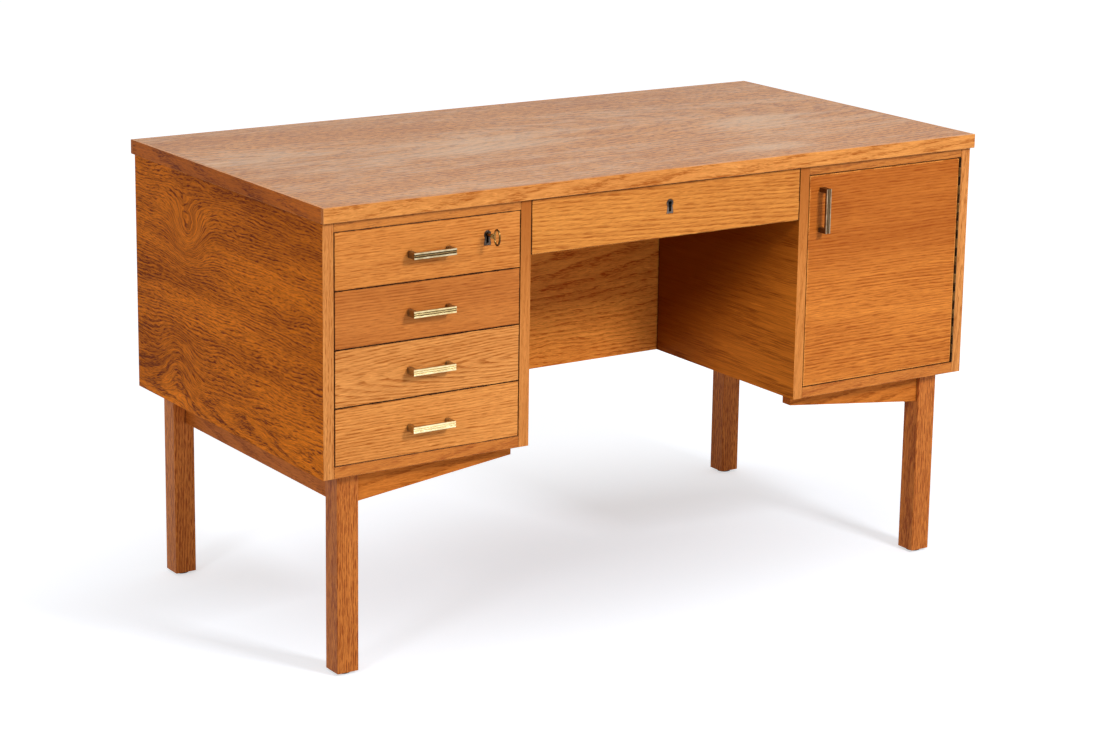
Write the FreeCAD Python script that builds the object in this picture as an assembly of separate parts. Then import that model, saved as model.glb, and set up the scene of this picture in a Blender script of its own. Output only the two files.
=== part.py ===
import FreeCAD, Part
import math
import os

Vector = FreeCAD.Vector

# A writing desk in oak veneer: two pedestals hung under one top, four drawers on the left,
# a cupboard with a door on the right and a wide shallow drawer over the kneehole, all on
# square legs with tapered rails. Millimetres, +X to the right, +Y to the back, +Z up.
# The origin is on the floor under the middle of the desk's bounding box.

# Overall size
desk_height = 720.0
carcass_width = 1220.0
carcass_depth = 612.0
carcass_height = 382.0

# Boards of the carcass
board = 18.0
back_board = 12.0
pedestal_opening = 319.0
modesty_setback = 377.0
front_rail_height = 15.0
front_rail_depth = 50.0

# Top board and the solid lippings round it
top_thickness = 23.0
top_overhang_side = 2.5
top_overhang_front = 8.0
top_overhang_back = 8.0
long_lipping = 7.5
short_lipping = 5.0
lipping_round = 1.2

# Legs, rails and glides of the stand
leg_size = 36.0
leg_inset_side = 34.0
leg_inset_depth = 20.0
leg_round = 1.5
side_rail_height = 57.5
side_rail_thickness = 15.0
taper_rail_thickness = 20.0
taper_rail_setback = 6.0
taper_rail_height_at_leg = 49.0
taper_rail_height_at_end = 18.0
taper_rail_end_gap = 15.0
glide_height = 4.0
glide_radius = 12.0

# Drawer fronts
front_thickness = 18.0
front_gap = 1.6
middle_front_height = 83.5
middle_front_top_gap = 2.0

# Drawer boxes: sides, back and a thin bottom that slides in from behind
box_length = 500.0
middle_box_back_gap = 21.0
box_side = 12.0
box_back = 12.0
box_side_clearance = 1.0
box_rise = 6.0
box_drop = 10.0
box_back_inset = 6.0
box_back_drop = 6.0
box_back_housing = 4.0
bottom_thickness = 4.0
bottom_groove_depth = 4.0
bottom_groove_rise = 7.0
bottom_groove_in_front = 5.0
bottom_play = 0.3

# Dovetails between each drawer side and the drawer front
tail_count = 3
dovetail_lap = 6.0
tail_wide_share = 0.72
tail_narrow_share = 0.54

# Runners on the boards and the grooves that ride on them
runner_height = 16.0
runner_thickness = 8.0
runner_setback = 22.0
runner_play = 0.3
runner_groove_depth = 7.5

# Bridge handles of grooved brass bar
handle_length = 72.5
handle_height = 9.5
handle_reach = 19.0
handle_bar = 4.0
handle_post = 7.0
handle_drop = 2.0
handle_groove_count = 2
handle_groove_width = 1.3
handle_groove_depth = 0.9
quarter_turn = 90.0

# Locks, the same one in the top drawer and in the middle drawer
key_drop = 30.0
drawer_key_inset = 59.0
lock_width = 40.0
lock_height = 43.0
lock_depth = 12.0
lock_wall = 1.2
selvedge_overhang = 5.0
selvedge_thickness = 1.6
bolt_width = 22.0
bolt_head_width = 14.0
bolt_thickness = 4.0
bolt_throw = 7.0
bolt_play = 0.25
bolt_foot_drop = 9.0
drill_pin_radius = 1.22
drill_pin_length = 8.0

# Keyholes: the inlaid metal escutcheon and the hole inside it
escutcheon_head_radius = 6.2
escutcheon_waist = 4.6
escutcheon_foot = 6.1
escutcheon_foot_drop = 16.2
escutcheon_proud = 0.4
keyhole_head_radius = 3.1
keyhole_waist = 1.6
keyhole_foot = 2.2
keyhole_foot_drop = 13.4

# Key standing in the lock of the top drawer
key_reach = 35.0
key_shaft_radius = 2.5
key_bore_radius = 1.3
key_bore_play = 0.5
key_bit_drop = 8.0
key_bit_thickness = 2.0
key_collar_radius = 4.0
key_collar_length = 2.6
key_collar_gap = 4.0
key_bow_height = 26.0
key_bow_length = 17.0
key_bow_rim = 2.9
key_bow_thickness = 2.8

# Cupboard: door, shelf and magnetic catch
shelf_thickness = 18.0
shelf_setback = 40.0
shelf_play = 0.5
shelf_height_share = 0.48
pin_radius = 3.0
pin_in_board = 10.0
pin_out_of_board = 12.0
pin_play = 0.05
pin_inset = 60.0
hinge_gap = 5.0
door_handle_inset = 24.5
door_handle_top = 56.5
catch_length = 40.0
catch_width = 13.0
catch_depth = 17.0
catch_plate_length = 34.0
catch_plate_width = 11.0
catch_plate_thickness = 1.2
catch_gap = 0.3

# Piano hinge over the full height of the door
knuckle_count = 15
knuckle_radius = 2.2
knuckle_play = 0.3
hinge_pin_radius = 1.35
hinge_pin_play = 0.06
leaf_thickness = 1.0
leaf_depth = 14.0
leaf_notch = 3.2

# How far cutting tools run past what they cut
overrun = 1.0

# Places along Z
top_underside = desk_height - top_thickness
clear_below = top_underside - carcass_height
floor_board_top = clear_below + board
front_rail_bottom = top_underside - front_rail_height

# Places along Y, with the desk's bounding box centred on the origin
front_reach = max(key_reach, handle_reach, top_overhang_front)
front_y = (front_reach - carcass_depth - top_overhang_back) / 2
rear_y = front_y + carcass_depth
top_front_y = front_y - top_overhang_front
top_rear_y = rear_y + top_overhang_back
modesty_y = front_y + modesty_setback
niche_y = modesty_y + board
middle_box_length = modesty_setback - middle_box_back_gap
back_board_y = rear_y - back_board

# Places along X
left_x = -carcass_width / 2
right_x = carcass_width / 2
left_opening_x = left_x + board
left_inner_x = left_opening_x + pedestal_opening
kneehole_left_x = left_inner_x + board
right_opening_end_x = right_x - board
right_opening_x = right_opening_end_x - pedestal_opening
kneehole_right_x = right_opening_x - board

# The stack of four drawers fills the opening between floor board and front rail
drawer_count = 4
drawer_pitch = (front_rail_bottom - floor_board_top) / drawer_count
middle_front_top = top_underside - middle_front_top_gap
key_axis_x = left_inner_x - drawer_key_inset
middle_key_x = (kneehole_left_x + kneehole_right_x) / 2

# Door and its hinge
door_left_x = right_opening_x + front_gap
door_right_x = right_opening_end_x - hinge_gap
door_bottom = floor_board_top + front_gap
door_top = front_rail_bottom - front_gap
hinge_x = right_opening_end_x - hinge_gap / 2
hinge_y = front_y
hinge_length = door_top - door_bottom


# Shapes used by many pieces
def box(x0, x1, y0, y1, z0, z1):
    return Part.makeBox(x1 - x0, y1 - y0, z1 - z0, Vector(x0, y0, z0))


def rod_y(x, y0, y1, z, radius):
    return Part.makeCylinder(radius, y1 - y0, Vector(x, y0, z), Vector(0, 1, 0))


def rod_x(x0, x1, y, z, radius):
    return Part.makeCylinder(radius, x1 - x0, Vector(x0, y, z), Vector(1, 0, 0))


def prism(points, along):
    outline = Part.makePolygon(points + [points[0]])
    return Part.Face(outline).extrude(along)


def upright_edges(solid):
    edges = []
    for edge in solid.Edges:
        if edge.BoundBox.XLength < pin_play and edge.BoundBox.YLength < pin_play:
            edges.append(edge)
    return edges


# Top: a veneered board let in between solid lippings
def top_panel():
    x0 = left_x - top_overhang_side + short_lipping
    x1 = right_x + top_overhang_side - short_lipping
    y0 = top_front_y + long_lipping
    y1 = top_rear_y - long_lipping
    panel = box(x0, x1, y0, y1, top_underside, desk_height)
    return panel.cut(bolt_mortise(middle_key_x, top_underside))


def long_lipping_at(outer_y, inner_y):
    x0 = left_x - top_overhang_side
    x1 = right_x + top_overhang_side
    y0 = min(outer_y, inner_y)
    y1 = max(outer_y, inner_y)
    strip = box(x0, x1, y0, y1, top_underside, desk_height)
    outer = []
    for edge in strip.Edges:
        on_face = abs(edge.BoundBox.YMin - outer_y) < pin_play and edge.BoundBox.YLength < pin_play
        if on_face and edge.BoundBox.XLength > top_thickness:
            outer.append(edge)
    return strip.makeFillet(lipping_round, outer)


def short_lipping_at(x0, x1):
    y0 = top_front_y + long_lipping
    y1 = top_rear_y - long_lipping
    return box(x0, x1, y0, y1, top_underside, desk_height)


def top_lippings():
    left = left_x - top_overhang_side
    right = right_x + top_overhang_side
    front = long_lipping_at(top_front_y, top_front_y + long_lipping)
    rear = long_lipping_at(top_rear_y, top_rear_y - long_lipping)
    left_strip = short_lipping_at(left, left + short_lipping)
    right_strip = short_lipping_at(right - short_lipping, right)
    return [front, rear, left_strip, right_strip]


# Carcass boards
def side_board(x0):
    return box(x0, x0 + board, front_y, rear_y, clear_below, top_underside)


def cupboard_side(x0, face_x, inwards):
    side = side_board(x0)
    for y, z in shelf_pin_places():
        start = min(face_x, face_x - inwards * pin_in_board)
        hole = rod_x(start, start + pin_in_board, y, z, pin_radius + pin_play)
        side = side.cut(hole)
    return side


def floor_board(x0):
    return box(x0, x0 + pedestal_opening, front_y, rear_y, clear_below, floor_board_top)


def front_rail(x0):
    y1 = front_y + front_rail_depth
    return box(x0, x0 + pedestal_opening, front_y, y1, front_rail_bottom, top_underside)


def front_rails():
    left = front_rail(left_opening_x).cut(bolt_mortise(key_axis_x, front_rail_bottom))
    right = front_rail(right_opening_x)
    return [left, right]


def back_panel(x0):
    return box(x0, x0 + pedestal_opening, back_board_y, rear_y, floor_board_top, top_underside)


def modesty_panel():
    return box(kneehole_left_x, kneehole_right_x, modesty_y, niche_y, clear_below, top_underside)


def niche_board():
    return box(kneehole_left_x, kneehole_right_x, niche_y, rear_y, clear_below, floor_board_top)


# Stand: legs, rails and glides
def leg_places():
    left = left_x + leg_inset_side
    right = right_x - leg_inset_side - leg_size
    front = front_y + leg_inset_depth
    rear = rear_y - leg_inset_depth - leg_size
    return {
        "front_left": (left, front),
        "front_right": (right, front),
        "rear_left": (left, rear),
        "rear_right": (right, rear),
    }


def leg(x0, y0):
    post = box(x0, x0 + leg_size, y0, y0 + leg_size, glide_height, clear_below)
    return post.makeFillet(leg_round, upright_edges(post))


def side_rail(outer_x):
    y0 = front_y + leg_inset_depth + leg_size
    y1 = rear_y - leg_inset_depth - leg_size
    return box(outer_x, outer_x + side_rail_thickness, y0, y1, clear_below - side_rail_height, clear_below)


def tapered_rail(leg_face_x, end_x, y0):
    leg_bottom = clear_below - taper_rail_height_at_leg
    end_bottom = clear_below - taper_rail_height_at_end
    points = [
        Vector(leg_face_x, y0, clear_below),
        Vector(leg_face_x, y0, leg_bottom),
        Vector(end_x, y0, end_bottom),
        Vector(end_x, y0, clear_below),
    ]
    return prism(points, Vector(0, taper_rail_thickness, 0))


def glide(x, y):
    return Part.makeCylinder(glide_radius, glide_height, Vector(x, y, 0))


def glides():
    feet = []
    for x0, y0 in leg_places().values():
        feet.append(glide(x0 + leg_size / 2, y0 + leg_size / 2))
    return feet


# Drawer boxes
def box_heights(front_bottom, front_top):
    return front_bottom + box_rise, front_top - box_drop


def box_side_blank(x0, length, side_bottom, side_top):
    """A drawer side with its row of tails at the front end."""
    joint_y = front_y + front_thickness
    tail_y = front_y + dovetail_lap
    end_y = front_y + length
    pitch = (side_top - side_bottom) / tail_count
    points = [Vector(x0, end_y, side_bottom), Vector(x0, joint_y, side_bottom)]
    for number in range(tail_count):
        centre = side_bottom + (2 * number + 1) / 2 * pitch
        narrow = pitch * tail_narrow_share / 2
        wide = pitch * tail_wide_share / 2
        points.append(Vector(x0, joint_y, centre - narrow))
        points.append(Vector(x0, tail_y, centre - wide))
        points.append(Vector(x0, tail_y, centre + wide))
        points.append(Vector(x0, joint_y, centre + narrow))
    points.append(Vector(x0, joint_y, side_top))
    points.append(Vector(x0, end_y, side_top))
    return prism(points, Vector(box_side, 0, 0))


def bottom_slot(x0, x1, length, side_bottom):
    """The groove for the bottom, in the front and in both sides."""
    left = x0 + box_side_clearance + box_side - bottom_groove_depth
    right = x1 - box_side_clearance - box_side + bottom_groove_depth
    y0 = front_y + front_thickness - bottom_groove_in_front
    z0 = side_bottom + bottom_groove_rise
    z1 = z0 + bottom_thickness + bottom_play
    return box(left, right, y0, front_y + length + overrun, z0, z1)


def drawer_bottom(x0, x1, length, side_bottom):
    slot = bottom_slot(x0, x1, length, side_bottom).BoundBox
    z0 = slot.ZMin
    return box(slot.XMin, slot.XMax, slot.YMin, front_y + length, z0, z0 + bottom_thickness)


def runner_centre(front_bottom, front_top):
    side_bottom, side_top = box_heights(front_bottom, front_top)
    return (side_bottom + side_top) / 2


def runner_groove(outer_x, inwards, length, centre_z):
    """The groove in the outer face of a drawer side; it ends blind behind the front."""
    y0 = front_y + runner_setback - runner_play
    z0 = centre_z - runner_height / 2 - runner_play
    z1 = centre_z + runner_height / 2 + runner_play
    deep_x = outer_x + inwards * runner_groove_depth
    open_x = outer_x - inwards * overrun
    return box(min(deep_x, open_x), max(deep_x, open_x), y0, front_y + length + overrun, z0, z1)


def drawer_back(x0, x1, length, side_bottom, side_top):
    left = x0 + box_side_clearance + box_side - box_back_housing
    right = x1 - box_side_clearance - box_side + box_back_housing
    y1 = front_y + length - box_back_inset
    z0 = side_bottom + bottom_groove_rise + bottom_thickness + bottom_play
    return box(left, right, y1 - box_back, y1, z0, side_top - box_back_drop)


def back_housing(x0, x1, length, side_bottom, side_top):
    """The housing that holds the back, open at the top edge of each side."""
    back = drawer_back(x0, x1, length, side_bottom, side_top).BoundBox
    return box(back.XMin, back.XMax, back.YMin, back.YMax, back.ZMin, side_top + overrun)


def drawer_box(x0, x1, length, front_bottom, front_top):
    side_bottom, side_top = box_heights(front_bottom, front_top)
    centre_z = runner_centre(front_bottom, front_top)
    left_outer = x0 + box_side_clearance
    right_outer = x1 - box_side_clearance
    slot = bottom_slot(x0, x1, length, side_bottom)
    housing = back_housing(x0, x1, length, side_bottom, side_top)
    left = box_side_blank(left_outer, length, side_bottom, side_top)
    right = box_side_blank(right_outer - box_side, length, side_bottom, side_top)
    left = left.cut([slot, housing, runner_groove(left_outer, 1, length, centre_z)])
    right = right.cut([slot, housing, runner_groove(right_outer, -1, length, centre_z)])
    return [left, right, drawer_back(x0, x1, length, side_bottom, side_top)]


def drawer_front(x0, x1, length, front_bottom, front_top):
    """A drawer front with its dovetail sockets and the groove for the bottom."""
    side_bottom, side_top = box_heights(front_bottom, front_top)
    left_outer = x0 + box_side_clearance
    right_outer = x1 - box_side_clearance
    panel = box(x0 + front_gap, x1 - front_gap, front_y, front_y + front_thickness, front_bottom, front_top)
    left = box_side_blank(left_outer, length, side_bottom, side_top)
    right = box_side_blank(right_outer - box_side, length, side_bottom, side_top)
    slot = bottom_slot(x0, x1, length, side_bottom)
    return panel.cut([left, right, slot])


def runner(x0, length, centre_z):
    y0 = front_y + runner_setback
    z0 = centre_z - runner_height / 2
    return box(x0, x0 + runner_thickness, y0, front_y + length, z0, z0 + runner_height)


def drawer_heights(number):
    """Lowest and highest edge of a front in the stack, counted from the top."""
    slot_top = front_rail_bottom - (number - 1) * drawer_pitch
    return slot_top - drawer_pitch + front_gap / 2, slot_top - front_gap / 2


def middle_heights():
    return middle_front_top - middle_front_height, middle_front_top


def drawer_runners():
    strips = []
    for number in range(1, drawer_count + 1):
        bottom, top = drawer_heights(number)
        centre_z = runner_centre(bottom, top)
        strips.append(runner(left_opening_x, box_length, centre_z))
        strips.append(runner(left_inner_x - runner_thickness, box_length, centre_z))
    bottom, top = middle_heights()
    centre_z = runner_centre(bottom, top)
    strips.append(runner(kneehole_left_x, middle_box_length, centre_z))
    strips.append(runner(kneehole_right_x - runner_thickness, middle_box_length, centre_z))
    return strips


# Handles
def handle(centre_x, centre_z):
    """A square bridge handle: a grooved bar on two posts."""
    x0 = centre_x - handle_length / 2
    x1 = centre_x + handle_length / 2
    z0 = centre_z - handle_height / 2
    z1 = centre_z + handle_height / 2
    bar_front = front_y - handle_reach
    solid = box(x0, x1, bar_front, bar_front + handle_bar, z0, z1)
    left_post = box(x0, x0 + handle_post, bar_front, front_y, z0, z1)
    right_post = box(x1 - handle_post, x1, bar_front, front_y, z0, z1)
    solid = solid.fuse([left_post, right_post]).removeSplitter()
    pitch = handle_height / (handle_groove_count + 1)
    for number in range(1, handle_groove_count + 1):
        groove_z = z0 + number * pitch - handle_groove_width / 2
        groove_end = bar_front + handle_groove_depth
        groove_top = groove_z + handle_groove_width
        groove = box(x0 - overrun, x1 + overrun, bar_front - overrun, groove_end, groove_z, groove_top)
        solid = solid.cut(groove)
    return solid


def drawer_handle(front_bottom, front_top):
    centre_x = (left_opening_x + left_inner_x) / 2
    centre_z = (front_bottom + front_top) / 2 - handle_drop
    return handle(centre_x, centre_z)


def door_handle():
    centre_x = door_left_x + door_handle_inset
    centre_z = door_top - door_handle_top
    upright = handle(centre_x, centre_z)
    upright.rotate(Vector(centre_x, front_y, centre_z), Vector(0, 1, 0), quarter_turn)
    return upright


# Locks and keyholes
def keyhole_outline(x, y, z, head_radius, waist, foot, foot_drop):
    """A round head over a slot that widens to its foot, as a closed wire."""
    neck = math.sqrt(head_radius ** 2 - waist ** 2)
    left_neck = Vector(x - waist, y, z - neck)
    right_neck = Vector(x + waist, y, z - neck)
    left_foot = Vector(x - foot, y, z - foot_drop)
    right_foot = Vector(x + foot, y, z - foot_drop)
    head = Part.Arc(left_neck, Vector(x, y, z + head_radius), right_neck)
    edges = [
        head.toShape(),
        Part.LineSegment(right_neck, right_foot).toShape(),
        Part.LineSegment(right_foot, left_foot).toShape(),
        Part.LineSegment(left_foot, left_neck).toShape(),
    ]
    return Part.Wire(edges)


def keyhole_solid(x, y0, y1, z, head_radius, waist, foot, foot_drop):
    outline = keyhole_outline(x, y0, z, head_radius, waist, foot, foot_drop)
    return Part.Face(outline).extrude(Vector(0, y1 - y0, 0))


def keyhole_cut(x, y0, y1, z):
    return keyhole_solid(x, y0, y1, z, keyhole_head_radius, keyhole_waist, keyhole_foot, keyhole_foot_drop)


def escutcheon_body(x, y0, y1, z):
    return keyhole_solid(
        x, y0, y1, z, escutcheon_head_radius, escutcheon_waist, escutcheon_foot, escutcheon_foot_drop
    )


def escutcheon(x, z):
    """The metal liner of the keyhole, a little proud of the drawer front."""
    y0 = front_y - escutcheon_proud
    y1 = lock_front_y()
    return escutcheon_body(x, y0, y1, z).cut(keyhole_cut(x, y0 - overrun, y1 + overrun, z))


def lock_front_y():
    return front_y + front_thickness - lock_depth


def selvedge(x, front_top):
    """The strip of the lock let into the top edge of the drawer front."""
    half = lock_width / 2 + selvedge_overhang
    y1 = front_y + front_thickness
    return box(x - half, x + half, lock_front_y(), y1, front_top - selvedge_thickness, front_top)


def lock_body(x, front_top):
    half = lock_width / 2
    y1 = front_y + front_thickness
    return box(x - half, x + half, lock_front_y(), y1, front_top - lock_height, front_top)


def lock_pocket(x, front_top):
    """What the joiner cuts out of the front: the case, its strip and the keyhole liner."""
    key_z = front_top - key_drop
    hole = escutcheon_body(x, front_y - overrun, lock_front_y() + overrun, key_z)
    return [lock_body(x, front_top), selvedge(x, front_top), hole]


def bolt_front_y():
    return lock_front_y() + lock_wall + bolt_play


def lock_case(x, front_top):
    key_z = front_top - key_drop
    y0 = lock_front_y()
    y1 = front_y + front_thickness
    half = lock_width / 2 - lock_wall
    hollow_z0 = front_top - lock_height + lock_wall
    hollow_z1 = front_top - selvedge_thickness
    hollow = box(x - half, x + half, y0 + lock_wall, y1 - lock_wall, hollow_z0, hollow_z1)
    head_half = bolt_head_width / 2 + bolt_play
    slot_y0 = bolt_front_y() - bolt_play
    slot_y1 = bolt_front_y() + bolt_thickness + bolt_play
    slot_z0 = front_top - selvedge_thickness - overrun
    slot = box(x - head_half, x + head_half, slot_y0, slot_y1, slot_z0, front_top + overrun)
    shell = lock_body(x, front_top).fuse(selvedge(x, front_top)).removeSplitter()
    shell = shell.cut([hollow, slot, keyhole_cut(x, y0 - overrun, y0 + lock_wall + overrun, key_z)])
    pin = rod_y(x, y1 - lock_wall - drill_pin_length, y1, key_z, drill_pin_radius)
    return shell.fuse(pin).removeSplitter()


def lock_bolt(x, front_top):
    """A forked plate that straddles the key's shaft, with a narrower head."""
    key_z = front_top - key_drop
    y0 = bolt_front_y()
    y1 = y0 + bolt_thickness
    shoulder = front_top - selvedge_thickness - bolt_throw - bolt_play
    half = bolt_width / 2
    head_half = bolt_head_width / 2
    fork_half = key_shaft_radius + bolt_play
    plate = box(x - half, x + half, y0, y1, key_z - bolt_foot_drop, shoulder)
    head = box(x - head_half, x + head_half, y0, y1, shoulder, front_top - bolt_play)
    fork_foot = key_z - bolt_foot_drop - overrun
    fork = box(x - fork_half, x + fork_half, y0 - overrun, y1 + overrun, fork_foot, key_z)
    crotch = rod_y(x, y0 - overrun, y1 + overrun, key_z, fork_half)
    return plate.fuse(head).removeSplitter().cut([fork, crotch])


def bolt_mortise(x, underside):
    """The blind mortise above a lock, into which its bolt rises."""
    half = bolt_head_width / 2 + 2 * bolt_play
    y0 = bolt_front_y() - 2 * bolt_play
    y1 = bolt_front_y() + bolt_thickness + 2 * bolt_play
    return box(x - half, x + half, y0, y1, underside - overrun, underside + bolt_throw)


def key(x, z):
    """A barrel key: bored shaft with its bit down, a collar and an oval bow."""
    tip_y = front_y + front_thickness - lock_wall - bolt_play
    bit_y = bolt_front_y() + bolt_thickness + bolt_play
    bow_front = front_y - key_reach
    bow_back = bow_front + key_bow_length
    collar_y = bow_back + key_collar_gap
    shaft = rod_y(x, bow_back - key_bow_rim / 2, tip_y, z, key_shaft_radius)
    collar = rod_y(x, collar_y, collar_y + key_collar_length, z, key_collar_radius)
    half_bit = key_bit_thickness / 2
    bit = box(x - half_bit, x + half_bit, bit_y, tip_y, z - key_bit_drop, z)
    bow = key_bow(x, (bow_front + bow_back) / 2, z)
    solid = shaft.fuse([collar, bit, bow])
    bore_length = drill_pin_length + key_bore_play
    bore = rod_y(x, tip_y - bore_length, tip_y + overrun, z, key_bore_radius)
    return solid.cut(bore)


def oval_disc(x0, x1, y, z, half_y, half_z):
    """An upright oval disc between the planes x0 and x1."""
    top = Vector(x0, y, z + half_z)
    oval = Part.Ellipse(top, Vector(x0, y + half_y, z), Vector(x0, y, z))
    return Part.Face(Part.Wire(oval.toShape())).extrude(Vector(x1 - x0, 0, 0))


def key_bow(x, y, z):
    """An oval ring standing in the plane x."""
    x0 = x - key_bow_thickness / 2
    x1 = x + key_bow_thickness / 2
    half_y = key_bow_length / 2
    half_z = key_bow_height / 2
    disc = oval_disc(x0, x1, y, z, half_y, half_z)
    eye = oval_disc(x0 - overrun, x1 + overrun, y, z, half_y - key_bow_rim, half_z - key_bow_rim)
    return disc.cut(eye)


# Cupboard
def door_panel():
    return box(door_left_x, door_right_x, front_y, front_y + front_thickness, door_bottom, door_top)


def shelf_underside():
    return floor_board_top + shelf_height_share * (front_rail_bottom - floor_board_top)


def cupboard_shelf():
    x0 = right_opening_x + shelf_play
    x1 = right_opening_end_x - shelf_play
    z0 = shelf_underside()
    return box(x0, x1, front_y + shelf_setback, back_board_y - shelf_play, z0, z0 + shelf_thickness)


def shelf_pin_places():
    z = shelf_underside() - pin_radius
    front = front_y + shelf_setback + pin_inset
    rear = back_board_y - pin_inset
    return [(front, z), (rear, z)]


def shelf_pins():
    pins = []
    near = right_opening_x
    far = right_opening_end_x
    for y, z in shelf_pin_places():
        pins.append(rod_x(near - pin_in_board, near + pin_out_of_board, y, z, pin_radius))
        pins.append(rod_x(far - pin_out_of_board, far + pin_in_board, y, z, pin_radius))
    return pins


def catch_centre_z():
    return door_top - door_handle_top


def catch_plate():
    y0 = front_y + front_thickness
    x0 = door_left_x + (catch_width - catch_plate_width) / 2
    half = catch_plate_length / 2
    z = catch_centre_z()
    return box(x0, x0 + catch_plate_width, y0, y0 + catch_plate_thickness, z - half, z + half)


def door_catch():
    y0 = front_y + front_thickness + catch_plate_thickness + catch_gap
    half = catch_length / 2
    z = catch_centre_z()
    x1 = right_opening_x + catch_width
    return box(right_opening_x, x1, y0, y0 + catch_depth, z - half, z + half)


# Piano hinge
def hinge_leaf(face_x, outwards, first):
    """A long leaf with every second knuckle of the hinge rolled on its edge."""
    inner_x = face_x + outwards * leaf_thickness
    x0 = min(face_x, inner_x)
    x1 = max(face_x, inner_x)
    leaf_y = hinge_y + leaf_notch
    pieces = [box(x0, x1, leaf_y, hinge_y + leaf_depth, door_bottom, door_top)]
    pitch = hinge_length / knuckle_count
    solid = pieces[0]
    for number in range(first, knuckle_count, 2):
        z0 = door_bottom + number * pitch + knuckle_play / 2
        z1 = door_bottom + (number + 1) * pitch - knuckle_play / 2
        barrel = Part.makeCylinder(knuckle_radius, z1 - z0, Vector(hinge_x, hinge_y, z0))
        tab = box(x0, x1, hinge_y, leaf_y + leaf_thickness, z0, z1)
        pieces.append(barrel)
        pieces.append(tab)
    solid = solid.fuse(pieces[1:]).removeSplitter()
    bore_radius = hinge_pin_radius + hinge_pin_play
    bore = Part.makeCylinder(bore_radius, hinge_length, Vector(hinge_x, hinge_y, door_bottom))
    return solid.cut(bore)


def hinge_pin():
    return Part.makeCylinder(hinge_pin_radius, hinge_length, Vector(hinge_x, hinge_y, door_bottom))


# Every sub-part by name
def build_nodes():
    nodes = {}
    nodes["top_panel"] = top_panel()
    nodes["top_lippings"] = top_lippings()
    nodes["side_left_outer"] = side_board(left_x)
    nodes["side_left_inner"] = side_board(left_inner_x)
    nodes["side_right_inner"] = cupboard_side(kneehole_right_x, right_opening_x, 1)
    nodes["side_right_outer"] = cupboard_side(right_opening_end_x, right_opening_end_x, -1)
    nodes["floor_board_left"] = floor_board(left_opening_x)
    nodes["floor_board_right"] = floor_board(right_opening_x)
    nodes["front_rails"] = front_rails()
    nodes["back_panel_left"] = back_panel(left_opening_x)
    nodes["back_panel_right"] = back_panel(right_opening_x)
    nodes["modesty_panel"] = modesty_panel()
    nodes["niche_board"] = niche_board()
    add_stand(nodes)
    nodes["drawer_runners"] = drawer_runners()
    add_drawers(nodes)
    add_middle_drawer(nodes)
    add_cupboard(nodes)
    return nodes


def add_stand(nodes):
    places = leg_places()
    for name, place in places.items():
        nodes["leg_" + name] = leg(*place)
    nodes["glides"] = glides()
    left_inner_face = left_x + leg_inset_side + leg_size
    right_inner_face = right_x - leg_inset_side - leg_size
    nodes["side_rail_left"] = side_rail(left_inner_face - side_rail_thickness)
    nodes["side_rail_right"] = side_rail(right_inner_face)
    left_end = kneehole_left_x - taper_rail_end_gap
    right_end = kneehole_right_x + taper_rail_end_gap
    front = front_y + leg_inset_depth + taper_rail_setback
    rear = rear_y - leg_inset_depth - taper_rail_setback - taper_rail_thickness
    nodes["tapered_rail_front_left"] = tapered_rail(left_inner_face, left_end, front)
    nodes["tapered_rail_front_right"] = tapered_rail(right_inner_face, right_end, front)
    nodes["tapered_rail_rear_left"] = tapered_rail(left_inner_face, left_end, rear)
    nodes["tapered_rail_rear_right"] = tapered_rail(right_inner_face, right_end, rear)


def add_drawers(nodes):
    x0 = left_opening_x
    x1 = left_inner_x
    for number in range(1, drawer_count + 1):
        bottom, top = drawer_heights(number)
        name = "drawer_%d" % number
        panel = drawer_front(x0, x1, box_length, bottom, top)
        if number == 1:
            panel = panel.cut(lock_pocket(key_axis_x, top))
            nodes["drawer_lock_case"] = lock_case(key_axis_x, top)
            nodes["drawer_lock_bolt"] = lock_bolt(key_axis_x, top)
            nodes["drawer_escutcheon"] = escutcheon(key_axis_x, top - key_drop)
            nodes["key"] = key(key_axis_x, top - key_drop)
        nodes[name + "_front"] = panel
        nodes[name + "_box"] = drawer_box(x0, x1, box_length, bottom, top)
        nodes[name + "_bottom"] = drawer_bottom(x0, x1, box_length, bottom + box_rise)
        nodes[name + "_handle"] = drawer_handle(bottom, top)


def add_middle_drawer(nodes):
    x0 = kneehole_left_x
    x1 = kneehole_right_x
    bottom, top = middle_heights()
    panel = drawer_front(x0, x1, middle_box_length, bottom, top)
    nodes["middle_drawer_front"] = panel.cut(lock_pocket(middle_key_x, top))
    nodes["middle_drawer_box"] = drawer_box(x0, x1, middle_box_length, bottom, top)
    nodes["middle_drawer_bottom"] = drawer_bottom(x0, x1, middle_box_length, bottom + box_rise)
    nodes["middle_lock_case"] = lock_case(middle_key_x, top)
    nodes["middle_lock_bolt"] = lock_bolt(middle_key_x, top)
    nodes["middle_escutcheon"] = escutcheon(middle_key_x, top - key_drop)


def add_cupboard(nodes):
    nodes["cupboard_shelf"] = cupboard_shelf()
    nodes["shelf_pins"] = shelf_pins()
    nodes["door_catch"] = door_catch()
    nodes["door_panel"] = door_panel()
    nodes["door_handle"] = door_handle()
    nodes["catch_plate"] = catch_plate()
    nodes["hinge_leaf_carcass"] = hinge_leaf(right_opening_end_x, -1, 0)
    nodes["hinge_leaf_door"] = hinge_leaf(door_right_x, 1, 1)
    nodes["hinge_pin"] = hinge_pin()


def export_nodes(nodes):
    os.makedirs("parts", exist_ok=True)
    for name, solids in nodes.items():
        shape = Part.makeCompound(solids) if isinstance(solids, list) else solids
        shape.exportStep("parts/" + name + ".step")


export_nodes(build_nodes())
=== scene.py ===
import math

import bmesh
import bpy
from mathutils import Euler, Matrix, Vector


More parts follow.
